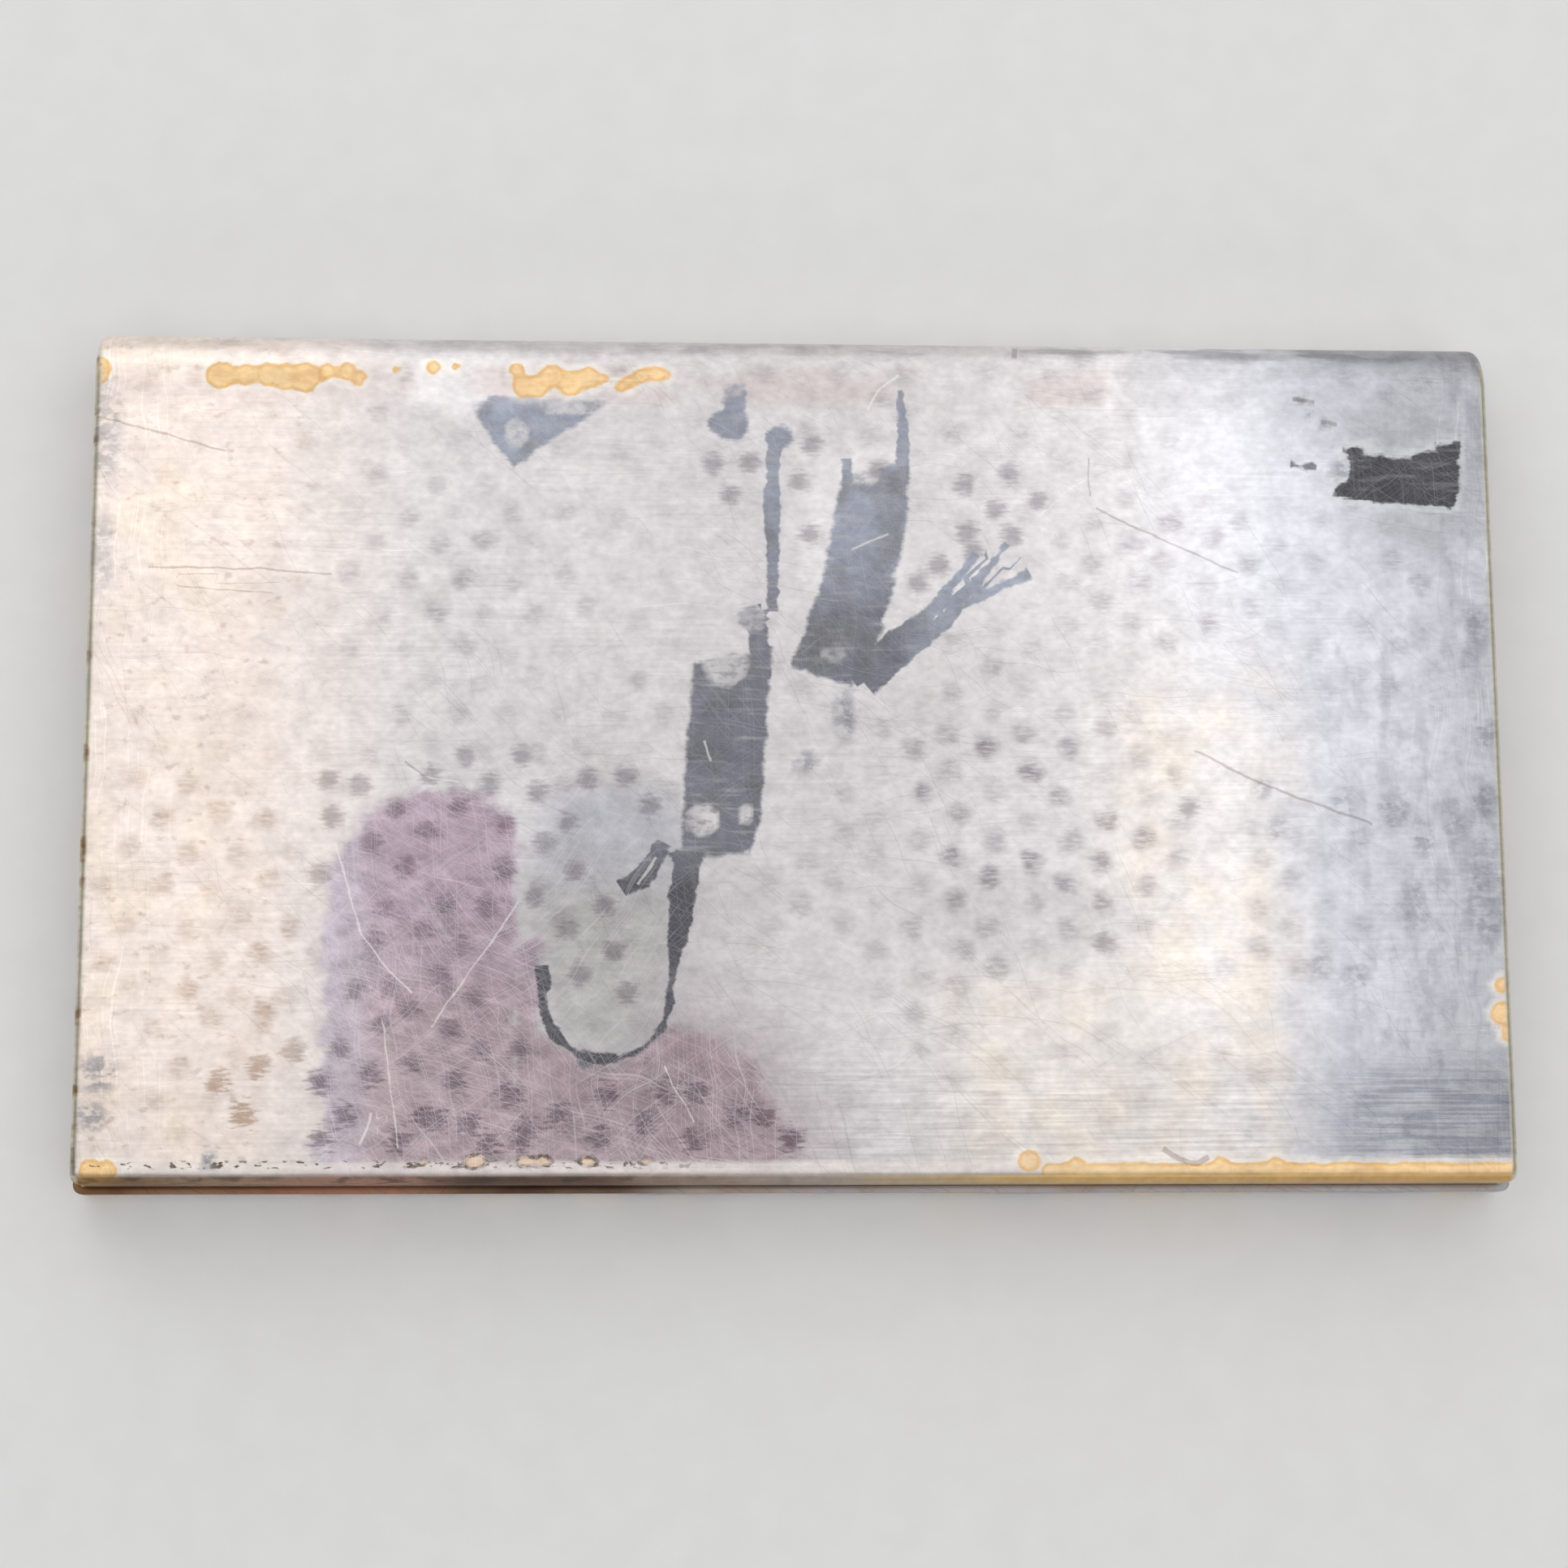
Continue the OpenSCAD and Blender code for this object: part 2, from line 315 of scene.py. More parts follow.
class Wire:
    def __init__(self, finish, socket):
        self.finish, self.socket = finish, socket

    def sum(self, operation, *others):
        return self.finish.node("ShaderNodeMath", {"operation": operation}, (self, *others))

    def __add__(self, other):
        return self.sum("ADD", other)

    def __sub__(self, other):
        return self.sum("SUBTRACT", other)

    def __rsub__(self, other):
        return self.finish.node("ShaderNodeMath", {"operation": "SUBTRACT"}, (other, self))

    def __mul__(self, other):
        return self.sum("MULTIPLY", other)

    def __abs__(self):
        return self.sum("ABSOLUTE")

    __radd__ = __add__
    __rmul__ = __mul__

    def most(self, other):
        return self.sum("MAXIMUM", other)

    def scaled(self, factor, shift):
        """Times factor, plus shift."""
        return self.sum("MULTIPLY_ADD", factor, shift)

    def between(self, start, end):
        """0 at start and 1 at end, with a soft ease at both."""
        eased_in = {"interpolation_type": "SMOOTHSTEP"}
        return self.finish.node("ShaderNodeMapRange", eased_in, (self, start, end, 0.0, 1.0))


class Finish:
    def __init__(self, name, metallic, roughness):
        self.material = bpy.data.materials.new(name)
        self.material.use_nodes = True
        self.tree = self.material.node_tree
        self.shader = self.tree.nodes["Principled BSDF"]
        self.shader.inputs["Metallic"].default_value = metallic
        self.shader.inputs["Roughness"].default_value = roughness
        self.bent = None
        here = self.node("ShaderNodeTexCoord", out="Object")
        self.at = self.vector("SCALE", here, scale=1 / MM)
        self.x, self.y, self.z = self.parts(self.at)

    def node(self, kind, settings=None, values=(), out=0):
        """Adds any node: its settings first, then values or wires for its sockets by place or by name."""
        made = self.tree.nodes.new(kind)
        for key, value in (settings or {}).items():
            setattr(made, key, value)
        for key, value in values.items() if isinstance(values, dict) else enumerate(values):
            if isinstance(value, Wire):
                self.tree.links.new(value.socket, made.inputs[key])
            elif value is not None:
                made.inputs[key].default_value = value
        return Wire(self, made.outputs[out])

    def vector(self, operation, *values, scale=None):
        given = dict(enumerate(values))
        if scale is not None:
            given["Scale"] = scale
        return self.node("ShaderNodeVectorMath", {"operation": operation}, given)

    def parts(self, value):
        return tuple(self.node("ShaderNodeSeparateXYZ", {}, (value,), out=i) for i in range(3))

    def mix(self, a, b, factor):
        return self.node("ShaderNodeMix", {"data_type": "RGBA"}, {0: factor, 6: a, 7: b}, out=2)

    def shade(self, colour, factor):
        """Multiplies a colour by a number, for light and dark streaks."""
        return self.vector("SCALE", colour, scale=factor)

    def grain(self, size, detail, seed, warp=None, out=0):
        """Cloudy noise whose blotches measure size in x, y and z, in millimetres."""
        start = warp or self.at
        at = self.vector("MULTIPLY_ADD", start, tuple(1 / s for s in size), (seed, seed * 0.7, seed * 1.3))
        return self.node("ShaderNodeTexNoise", {}, {"Vector": at, "Scale": 1.0, "Detail": detail}, out=out)

    def clouds(self, size, detail, seed, start, end):
        """The same noise, cut into patches that begin at one level and are full at another."""
        return self.grain(size, detail, seed).between(start, end)

    def shifted(self, size, amount, seed):
        """The place on the piece, pushed about by noise, so that an outline drawn there is ragged."""
        push = self.grain(size, 2.0, seed, out="Color")
        moved = self.vector("MULTIPLY_ADD", push, amount, tuple(-a / 2 for a in amount))
        return self.vector("ADD", self.at, moved)

    def wavy(self):
        """The place again, gently bent, so that scratches are never dead straight."""
        if self.bent is None:
            self.bent = self.shifted((9, 9, 9), (3.5, 3.5, 0), 58.0)
        return self.bent

    def attribute(self, name):
        """The three numbers that a piece carries at each of its points."""
        return self.parts(self.node("ShaderNodeAttribute", {"attribute_name": name}, out="Vector"))

    def bump(self, height, depth):
        """Height from 0 to 1 over a depth in millimetres, as a normal for the shader."""
        return self.node("ShaderNodeBump", {}, {"Height": height, "Distance": depth * MM, "Strength": 1.0})

    def wear(self, colour, roughness=None, metallic=None, normal=None):
        """Connects the patterns to the shader and gives the finished material."""
        patterns = {"Base Color": colour, "Roughness": roughness, "Metallic": metallic, "Normal": normal}
        for name, value in patterns.items():
            if value is not None:
                self.tree.links.new(value.socket, self.shader.inputs[name])
        return self.material


# %% [markdown]
# Stains and bare patches are drawn as distances: a number at every point of the mesh that says how far it
# is from a shape, below zero inside it. They are worked out once, stored on the piece as attributes, and
# read by its finish, which adds a little noise before it cuts the edge. That keeps the finish short and
# the edges fine.

# %% Shapes drawn as distances
def eased(value, start, end):
    """0 at start and 1 at end with a soft ease, for a whole array of values."""
    t = np.clip((value - start) / (end - start), 0, 1)
    return t * t * (3 - 2 * t)


def patch(x, y, corners):
    """Distance from a straight-sided patch. Its corners go round anticlockwise and turn only one way."""
    far = np.full_like(x, -1e3)
    for (ax, ay), (bx, by) in zip(corners, corners[1:] + corners[:1]):
        length = math.hypot(bx - ax, by - ay)
        far = np.maximum(far, ((x - ax) * (by - ay) - (y - ay) * (bx - ax)) / length)
    return far


def blot(x, y, centre_x, centre_y, rx, ry):
    """0 in the middle of an oval and 1 on its edge."""
    return np.hypot((x - centre_x) / rx, (y - centre_y) / ry)


def ovals(x, y, table, outer, inner):
    """The strongest of several soft ovals at every point. Each row ends with its strength."""
    field = np.zeros_like(x)
    for *oval, amount in table:
        field = np.maximum(field, amount * eased(blot(x, y, *oval), outer, inner))
    return field


def lobes(x, y, table, near):
    """Round lobes that run into each other and into the shape they are added to."""
    for centre_x, centre_y, r in table:
        lobe = np.hypot(x - centre_x, y - centre_y) - r
        blend = np.clip(0.35 - np.abs(near - lobe), 0, None) / 0.35
        near = np.minimum(near, lobe) - blend * blend * 0.0875
    return near


REACH = 0.7
CAP = 0.25


def drawn_lines(x, y, table):
    """The nearest of several brush lines, as (side, reach, width) at every point.

    Side is the distance from the middle of the line, with a sign, so it changes evenly across the line
    and a coarse mesh still carries a hairline. Reach is above zero past the line's ends and away from it.
    """
    best = np.full_like(x, 1e3)
    side, reach, width = (np.ones_like(x) for _ in range(3))
    for points, widths in table:
        for (ax, ay), (bx, by), wa, wb in zip(points, points[1:], widths, widths[1:]):
            length = math.hypot(bx - ax, by - ay)
            dx, dy = (bx - ax) / length, (by - ay) / length
            forward = (x - ax) * dx + (y - ay) * dy
            across = (y - ay) * dx - (x - ax) * dy
            over = np.abs(forward - length / 2) - length / 2
            away = np.hypot(across, np.maximum(over, 0))
            nearer = away < best
            best = np.where(nearer, away, best)
            side = np.where(nearer, across, side)
            outside = np.maximum(over - CAP, away - REACH - max(abs(wa), abs(wb)) / 2)
            reach = np.where(nearer, outside, reach)
            width = np.where(nearer, wa + (wb - wa) * np.clip(forward / length, 0, 1), width)
    return side, reach, width


def store(mesh, name, values):
    """Three numbers for every point of a mesh, as one attribute that a finish can read."""
    attribute = mesh.attributes.new(name, "FLOAT_VECTOR", "POINT")
    attribute.data.foreach_set("vector", np.stack(values, 1).astype(np.float32).ravel())


# %% [markdown]
# ## The lid's face
# The next cells say where things are on the lid. These are the marks that make this case itself: dark
# sulphide stains left by a strap and its loops, the strips and chips where the silver has gone and brass
# shows, and the long scratches. Everything is in millimetres from the middle of the case, with the spine
# at the top.

# %% Where the stains are
STAIN_PATCHES = [
    [(-21.9, 23), (-21.2, 22), (-19.9, 18.9), (-19.3, 19.1), (-12.8, 23.9), (-20.8, 24.1)],
    [(-5.3, 21.3), (-3.5, 21.3), (-3.6, 25.4), (-4.9, 25.3)],
    [(-7.05, 5.8), (-7.7, -2.5), (-7.9, -7.2), (-3.4, -6.9), (-2.7, -4.5), (-1.85, 7)],
    [(-0.5, 5.8), (3.3, 4.3), (5, 6.6), (6.5, 12), (1.7, 12)],
    [(1.65, 11.8), (6.4, 11.8), (7.1, 15), (7.5, 19.2), (6.4, 19.8), (2.9, 18.6)],
]
STAIN_BLOBS = [
    (-5.2, 22.4, 0.8), (-1.3, 21.4, 0.85), (-3.2, 8.9, 0.85), (-14.1, -20.5, 0.55), (-9.3, -18.7, 0.3),
]
HOOK_X, HOOK_Y, HOOK_R = -12.8, -16.4, 4.15
HOOK = arc((HOOK_X, HOOK_Y), HOOK_R, 180, 360, 14)
HOOK_WIDTHS = [0.5, 0.5, 0.75, 0.8, 0.35, 0.4, 0.8, 0.8, 0.4, 0.3, 0.25, 0.3, 0.5, 0.4, 0.5]
STAIN_LINES = [
    ([(-16.95, -14.6), (-16.9, -15.6)] + HOOK[:1], [0.8, 0.9, 0.5]),
    (HOOK, HOOK_WIDTHS),
    (HOOK[-1:] + [(-8.45, -14.4), (-8.1, -12.6), (-7.9, -10.5), (-7.5, -7.0)], [0.4, 0.5, 1.3, 1.7, 1.9]),
    ([(-1.5, 21.4), (-1.8, 19.4), (-1.8, 17.0), (-1.75, 12.5), (-1.85, 9.7)], [1.4, 0.7, 1.2, 0.8, 0.7]),
    ([(-3.2, 8.9), (-2.8, 8.0), (-2.6, 5.0)], [1.3, 1.3, 1.5]),
    ([(-9.2, -6.4), (-10.2, -8.3), (-11.6, -9.2)], [1.0, 1.4, 1.1]),
    ([(6.9, 24.6), (7.1, 22.0), (7.0, 19.0)], [0.3, 0.7, 1.0]),
    ([(3.2, 19.8), (3.3, 18.2)], [0.6, 0.9]),
    ([(3.6, 5.0), (8.6, 9.2), (11.8, 13.3)], [2.1, 1.0, 0.4]),
    ([(4.6, 4.6), (9.7, 8.8), (13.9, 14.0)], [1.6, 1.1, 0.4]),
    ([(10.8, 9.7), (13.0, 11.0), (15.3, 12.1)], [0.5, 0.5, 0.8]),
    ([(33.7, 19.85), (35.0, 19.75)], [0.35, 0.5]),
]
MAUVE_MAIN = [
    (-30.6, -7), (-31.3, -13), (-31.1, -29), (-18.2, -29), (-18.6, -5.5), (-20.5, -3.3), (-25.5, -2.7),
    (-29, -4.6),
]
MAUVE_LOW = [(-19, -29), (-1.4, -29), (-1.4, -24.6), (-3.4, -20.2), (-6.0, -18.7), (-19, -18.7)]
SOOT = [(36.4, 17.65), (40.0, 17.3), (44.5, 17.0), (45.0, 17.9), (45.05, 21.6), (37.2, 21.1)]
SOOT_BITES = [(36.6, 19.6, 1.0, 1.1), (40.8, 21.9, 3.2, 1.5)]


def stain_fields(x, y):
    """Distances from the slate-coloured stains, the black one and the mauve corner."""
    slate = np.minimum.reduce([patch(x, y, corners) for corners in STAIN_PATCHES])
    slate = lobes(x, y, STAIN_BLOBS, slate)
    soot = np.maximum.reduce([patch(x, y, SOOT)] + [1 - blot(x, y, *oval) for oval in SOOT_BITES])
    outside_hook = HOOK_R - 0.15 - np.hypot(x - HOOK_X, y - HOOK_Y)
    low = np.maximum(patch(x, y, MAUVE_LOW), outside_hook)
    beside_hook = np.hypot(np.clip(x, -18.0, -17.6) - x, np.clip(y, -20, -13.5) - y) - 0.7
    budding = nearest(x, y, MAUVE_DOTS) - 0.85
    return slate, soot, np.minimum.reduce([patch(x, y, MAUVE_MAIN), low, beside_hook, budding])


# %% Where the silver is worn and scratched
# x, y and radius of each lobe
BARE_LOBES = [
    (-47.2, 25.7, 1.1), (-38.8, 25.35, 1), (-37.1, 25.45, 0.75), (-35.7, 25.5, 0.85), (-34.4, 25.4, 0.95),
    (-33.1, 25.35, 1.05), (-31.7, 25.8, 0.6), (-30.4, 25.8, 0.65), (-29.6, 25.3, 0.6), (-27.1, 25.9, 0.3),
    (-24.6, 26.1, 0.5), (-23.1, 26.2, 0.35), (-19, 26, 0.5), (-18.6, 24.9, 0.8), (-17.6, 24.9, 0.8),
    (-16.7, 25.6, 0.85), (-15.4, 25.1, 0.85), (-14.2, 25.5, 0.75), (-13.3, 25.4, 0.4), (-12, 24.8, 0.4),
    (-11.3, 25.2, 0.5), (-10.6, 25.65, 0.55), (-9.7, 25.8, 0.6), (-9.1, 25.7, 0.45), (46.5, -15.6, 0.5),
    (46.5, -17.5, 0.85), (46.8, -18.8, 0.5), (14.8, -27.1, 0.75), (17.9, -27.3, 0.5), (27.3, -27.4, 0.5),
    (31, -27.3, 0.45), (-45.9, -27.6, 0.7), (-44.7, -27.6, 0.7),
]
BAND_START, BAND_TOP = 15.6, -27.25
FADED = [
    (-4.95, 6, 1.7, 1.9, 0.85), (-19, 21.6, 0.9, 1.1, 0.8), (-15.6, 23.6, 2.2, 0.9, 0.7),
    (-4.4, 25.5, 1.4, 1.4, 0.6), (-6.5, -4.7, 1.25, 1.1, 1), (-3.6, -4.4, 0.55, 0.8, 1),
    (-3.2, 8.9, 1.3, 1.1, 0.6), (4.6, 19, 1.1, 0.9, 0.8), (2.3, 6.6, 1.1, 0.7, 0.5),
]
DARK_MARKS = [
    ([(-46.7, 22.4), (-38.6, 20.2)], 0.13), ([(-43, 12.15), (-36, 12.1), (-31.4, 11.8)], 0.12),
    ([(-41.1, 10.9), (-35.2, 10.4)], 0.08), ([(26.6, 0), (31.5, -2.4), (38, -4.7)], 0.16),
    ([(20.3, 16.6), (29.4, 12.4)], 0.13), ([(19.7, 20), (19.7, 17.8)], 0.1),
    ([(-25.9, -1), (-24.9, -1.8)], 0.15),
    ([(23.8, -26.5), (24.6, -26.95), (25.7, -27.35), (26.4, -27)], 0.38),
    ([(-47.3, -26.4), (-47.2, -27.7)], 0.8), ([(34, 24.45), (35, 24.4)], 0.3),
    ([(35.9, 22.85), (36.5, 22.8)], 0.3), ([(14.8, 27.6), (14.9, 28.1)], 0.35),
]
LIGHT_MARKS = [
    ([(-30.5, -6.5), (-28.8, -12.3), (-27.4, -14.2), (-25.6, -16)], 0.17),
    ([(-18.7, -10.4), (-21, -13.8), (-24, -18.2)], 0.15),
    ([(-28, -24.2), (-28.2, -25), (-28.5, -25.8)], 0.24), ([(-24.6, -1.9), (-22.8, -2.2)], 0.14),
    ([(4.8, 23.7), (5.6, 24.9), (6.6, 25.8)], 0.24), ([(-9.7, -7.4), (-10.6, -8.8)], 0.24),
    ([(3.8, 13.8), (5.8, 14.7)], 0.2), ([(-8.9, -21.2), (-7.2, -24.4)], 0.12),
    ([(-27.3, -18), (-26.2, -26)], 0.12), ([(-6.3, 0.4), (-6, -0.5)], 0.2),
]


def wear_fields(x, y):
    """Distance from the bare brass, how faded the stains are, and how pale the slate is."""
    band = np.maximum(BAND_START - x, y - BAND_TOP)
    bare = lobes(x, y, BARE_LOBES, band)
    faded = ovals(x, y, FADED, 1.15, 0.75)
    strip = np.maximum(0.75 * eased(x, -4, -2) * eased(y, 7, 16), 0.85 * eased(y, 18.5, 21))
    pale = np.maximum.reduce([eased(x, -10, -13) * eased(y, 14, 16), eased(x, 6.5, 9), strip])
    return bare, faded, pale * eased(x, 32, 30)


def scratch_lines(x, y):
    table = [(points, [-width] * len(points)) for points, width in DARK_MARKS]
    table += [(points, [0.7 * width] * len(points)) for points, width in LIGHT_MARKS]
    return drawn_lines(x, y, table)


# %% [markdown]
# The silver has been stored against something knobbly, which printed it with soft dots. The strongest
# ones sit in the mauve corner, inside the hook and round the twig, and they are placed one by one.
# Smudges are grey rubbed places, and the coppery spots are where the front roll has worn almost through.

# %% Where the strongest dots and smudges are
MAUVE_DOTS = [
    (-26.6, -4), (-22.5, -3.8), (-19.5, -5), (-28.3, -6.3), (-24.5, -5.5), (-26, -7.9), (-19.5, -8),
    (-23.3, -10.3), (-20.6, -10.6), (-27.3, -10.5), (-24.8, -12), (-22.3, -12.9), (-28, -12.8),
    (-23.6, -15.1), (-29.1, -16), (-26.8, -15.8), (-21.3, -16.4), (-27.4, -18.2), (-25.5, -17.2),
    (-30, -19.8), (-23, -18.5), (-21, -19.8), (-18.4, -19.8), (-25.4, -20.6), (-31.2, -22), (-28, -21.5),
    (-22.5, -21.9), (-19, -22.8), (-29.7, -24.1), (-26.1, -25.8), (-31.1, -25.7), (-24.5, -24.2),
    (-21.7, -24.7), (-17.8, -25), (-15.8, -24.1), (-12.8, -22.9), (-10.3, -24.7), (-13.2, -25.6),
    (-9, -22.7), (-6.9, -22.7), (-4.1, -24.1), (-7.1, -25.8), (-2.4, -24.2), (-23.8, -24.4), (-18.2, -25.7),
    (-20.4, -26), (-0.7, -25.8),
]
FREE_DOTS = [
    (-31.1, -2.1), (-29.1, -2.5), (-24.4, -1.8), (-22.1, -0.5), (-18.4, -0.4), (-17.3, -2.9), (-20.5, -2.3),
    (-30.8, -4.6), (-31.6, -8.4), (-15.3, -4.9), (-16.9, -6.3), (-14.9, -8.1), (-17.5, -9.8),
    (-12.9, -10.4), (-15.4, -11.9), (-14.5, -15), (-12.3, -13.4), (-11.4, -16.1), (-14.1, -2),
    (-11.6, -1.8), (-9.9, -3.8), (11.2, 18.3), (14.2, 19.1), (13.3, 16.6), (16.2, 17.2), (11.3, 15),
    (11.7, 13.7), (14.3, 14.8), (9.4, 12.7), (8, 11.5), (5.4, 19.3), (0.9, 21), (0.1, 18.4), (0.7, 14.8),
    (-5.8, 19.6), (-4.6, 17.4), (-3.3, 19.7), (25.9, -3.8), (20.1, -12.8), (-33, -19.9), (-34.9, -17.4),
    (-35.3, -20.9), (-37.8, -21.9), (-36.2, -24.1),
]
# x, y, half width, half height and strength
SMUDGES = [
    (-38.3, -27, 0.4, 0.85, 1), (-46.2, 21.5, 1.1, 4, 0.5), (-46.3, 13, 0.9, 3.4, 0.4),
    (-45.5, -21.4, 1.5, 1.5, 0.8), (-45.8, -24.2, 1.2, 1.1, 0.8), (36.9, 19.5, 0.9, 0.9, 0.7),
    (34.2, 24.5, 0.5, 0.4, 0.8), (34.9, 23.7, 0.4, 0.4, 0.7), (36, 22.8, 0.45, 0.4, 0.7),
    (3, 2.4, 0.75, 2.1, 0.8), (0.4, -0.8, 0.95, 0.9, 0.8), (45.8, 8.8, 0.9, 1.4, 0.7),
    (46, 1.5, 0.9, 1.6, 0.7), (45.9, -3.2, 0.9, 1.3, 0.8), (43.8, -4.6, 1.1, 1.6, 0.5),
    (41.6, -5.8, 0.9, 1.6, 0.6), (39.7, -3.8, 1.3, 1.3, 0.6), (36.2, -3.3, 0.9, 1.1, 0.5),
    (40.8, -10.5, 1.2, 2.2, 0.5), (45.6, -9.5, 1.4, 4.5, 0.6), (34.4, -14.4, 0.9, 1, 0.5),
    (36.8, -15, 1, 1, 0.5), (30.9, -2.4, 0.8, 0.8, 0.5), (31.8, -5, 0.8, 1, 0.5),
]
# x and radius of each coppery spot, all on one line along the front
COPPER_Y = -27.1
COPPER = [(-24.6, 0.35), (-21.2, 0.75), (-18.0, 0.6), (-16.9, 0.6), (-13.9, 0.6), (-10.2, 0.35)]


def nearest(x, y, table):
    """Distance to the nearest point of a table."""
    far = np.full_like(x, 9.0)
    for centre_x, centre_y in table:
        far = np.minimum(far, np.hypot(x - centre_x, y - centre_y))
    return far


def spot_fields(x, y):
    """Distance from the placed dots, the strength of the smudges, and distance from the coppery spots."""
    smudge = ovals(x, y, SMUDGES, 1.2, 0.5)
    copper = np.full_like(x, 9.0)
    for centre_x, r in COPPER:
        copper = np.minimum(copper, np.hypot(x - centre_x, (y - COPPER_Y) * 1.6) - r)
    return nearest(x, y, MAUVE_DOTS + FREE_DOTS), smudge, copper


# %% [markdown]
# Brightness changes slowly over the face. It is painted reflection: the left side and a band right of the
# middle are painted bright, and some places are made darker or lighter, among them painted shade on the
# spine.
# Weaker dots are spread everywhere else by a honeycomb, and these tables say how strong they are.

# %% How strong each pattern is over the face
# x and painted brightness along the case, from the left end: painted reflection, bright at the left and
# round x 28
PAINTED_REFLECTION = [
    (-48, 1.16), (-41, 1.24), (-34, 1.14), (-28, 1.02), (-22, 0.94), (-13, 0.92), (-5, 0.9), (3, 0.9),
    (10, 0.95), (17, 1.06), (23, 1.18), (28, 1.27), (34, 1.04), (40, 0.92), (48, 0.72),
]
# centre, size and strength of each area of dots
DOT_AREAS = [
    (15, -5, 13, 13, 0.95), (-39, -11, 9, 18, 0.8), (4, 22.5, 5, 3, 0.6), (-23, 11, 12, 8, 0.65),
    (25, 12, 11, 8, 0.6), (40, 8, 8, 9, 0.5),
]
# centre, half sizes and strength of the grey pool
POOL = (-12.6, -10.8, 5.8, 10.6, 1)
# centre, half sizes and how much darker or lighter each area is than its surroundings
# the row at x 42.5, y 29.5 is painted shade where the spine turns away at the top right
SHADES = [
    (-14, -17, 11, 9, -0.06), (-12, -9, 6.5, 6.5, -0.1), (-8, -23, 9, 6, -0.1), (-4.8, -11.5, 3.6, 5, -0.1),
    (42, 19, 6, 6, -0.2), (26, -24, 8, 4, -0.08), (2.8, 15.5, 3.4, 6, 0.16), (15, -11, 8, 3.5, -0.1),
    (26.5, 25.5, 5, 2.5, -0.14), (9, -22, 11, 7, 0.12), (42, -25, 9, 5.5, -0.16), (39, 25, 10, 4, -0.16),
    (-22, 25, 5, 2.5, 0.22), (42.5, 29.5, 12, 2.6, -0.32), (-22, -14, 6, 9, -0.06), (39, 5, 6, 9, 0.08),
]


def tone_fields(x, y, mauve):
    """Brightness, which is painted reflection and shade with lighter and darker places in the tone, the
    strength of the dots, and the grey pool inside the hook.
    """
    # painted reflection along the case, bright at the left end and round x 28
    painted_light_and_tone = np.interp(x, [row[0] for row in PAINTED_REFLECTION], [row[1] for row in PAINTED_REFLECTION])
    # darker towards the front and a little lighter towards the spine
    painted_light_and_tone = painted_light_and_tone * (1 - 0.12 * eased(y, -14, -26)) * (1 + 0.06 * eased(y, 2, 14))
    for *oval, change in SHADES:
        painted_light_and_tone = painted_light_and_tone * (1 + change * eased(blot(x, y, *oval), 1.25, 0.5))
    low_dots = 0.25 * eased(y, -17, -23) * eased(mauve, -0.5, 0.5)
    dots = np.maximum(low_dots, ovals(x, y, DOT_AREAS, 1.1, 0.5))
    return painted_light_and_tone, dots, ovals(x, y, [POOL], 1.3, 0.6)


def store_lid_fields(mesh):
    at = np.empty(len(mesh.vertices) * 3, np.float32)
    mesh.vertices.foreach_get("co", at)
    x, y, _ = at.astype(float).reshape(-1, 3).T / MM
    stains = stain_fields(x, y)
    store(mesh, "stains", stains)
    store(mesh, "wear", wear_fields(x, y))
    store(mesh, "stain_lines", drawn_lines(x, y, STAIN_LINES))
    store(mesh, "scratch_lines", scratch_lines(x, y))
    store(mesh, "spots", spot_fields(x, y))
    store(mesh, "tone", tone_fields(x, y, stains[2]))


# %% [markdown]
# A row of dots that is offset every other row is two plain grids laid over each other, so `honeycomb`
# makes two grids and pushes every dot about a little by its own random number.

# %% A honeycomb of tarnish dots
def dot_grid(finish, at, cell, offset, radius, seed):
    """Soft dots, one in each cell of a grid, each with its own place and strength."""
    scaled = finish.vector("MULTIPLY_ADD", at, (1 / cell[0], 1 / cell[1], 0), (offset, offset, seed))
    number = finish.vector("FLOOR", scaled)
    luck = finish.node("ShaderNodeTexWhiteNoise", {}, {"Vector": number}, out="Color")
    inside = finish.vector("SUBTRACT", finish.vector("FRACTION", scaled), (0.5, 0.5, 0))
    moved = finish.vector("MULTIPLY_ADD", luck, (0.2, 0.2, 0), inside)
    away = finish.vector("MULTIPLY", finish.vector("SUBTRACT", moved, (0.1, 0.1, 0)), (cell[0], cell[1], 0))
    distance = finish.node("ShaderNodeVectorMath", {"operation": "LENGTH"}, (away,), out="Value")
    strength = finish.node("ShaderNodeSeparateXYZ", {}, (luck,), out=2)
    return distance.between(radius * 1.3, radius * 0.3) * (strength * 0.75 + 0.3)


def honeycomb(finish, at, cell, radius, seed):
    between_rows = dot_grid(finish, at, cell, 0.5, radius, seed + 7)
    return dot_grid(finish, at, cell, 0.0, radius, seed).most(between_rows)


# %% [markdown]
# Scratches come from one noise stretched until its blotches are hair-thin lines. Turning the place before
# the stretch turns the scratches, and a threshold keeps only the crests, so the lines start and stop.

# %% Hairline scratches and polishing streaks
def hairlines(finish, angle, length, width, threshold, seed):
    values = {"Vector": finish.wavy(), "Angle": math.radians(angle)}
    direction = finish.node("ShaderNodeVectorRotate", {"rotation_type": "Z_AXIS"}, values)
    lines = finish.grain((length, width, 30), 1.0, seed, warp=direction)
    return lines.between(threshold, threshold + 0.05)


def scratch_set(finish, table):
    """Several directions of scratches in one mask. A row is angle, length, width, threshold and seed."""
    lines = [hairlines(finish, *row) for row in table]
    total = lines[0]
    for line in lines[1:]:
        total = total.most(line)
    return total


SILVER = srgb(216, 212, 212)
BRASS = srgb(240, 206, 154)
BRASS_DEEP = srgb(212, 164, 98)
SLATE = srgb(122, 124, 134)
SOOT_TONE = srgb(70, 69, 74)
MAUVE = srgb(163, 146, 155)
GRIME = srgb(78, 62, 40)


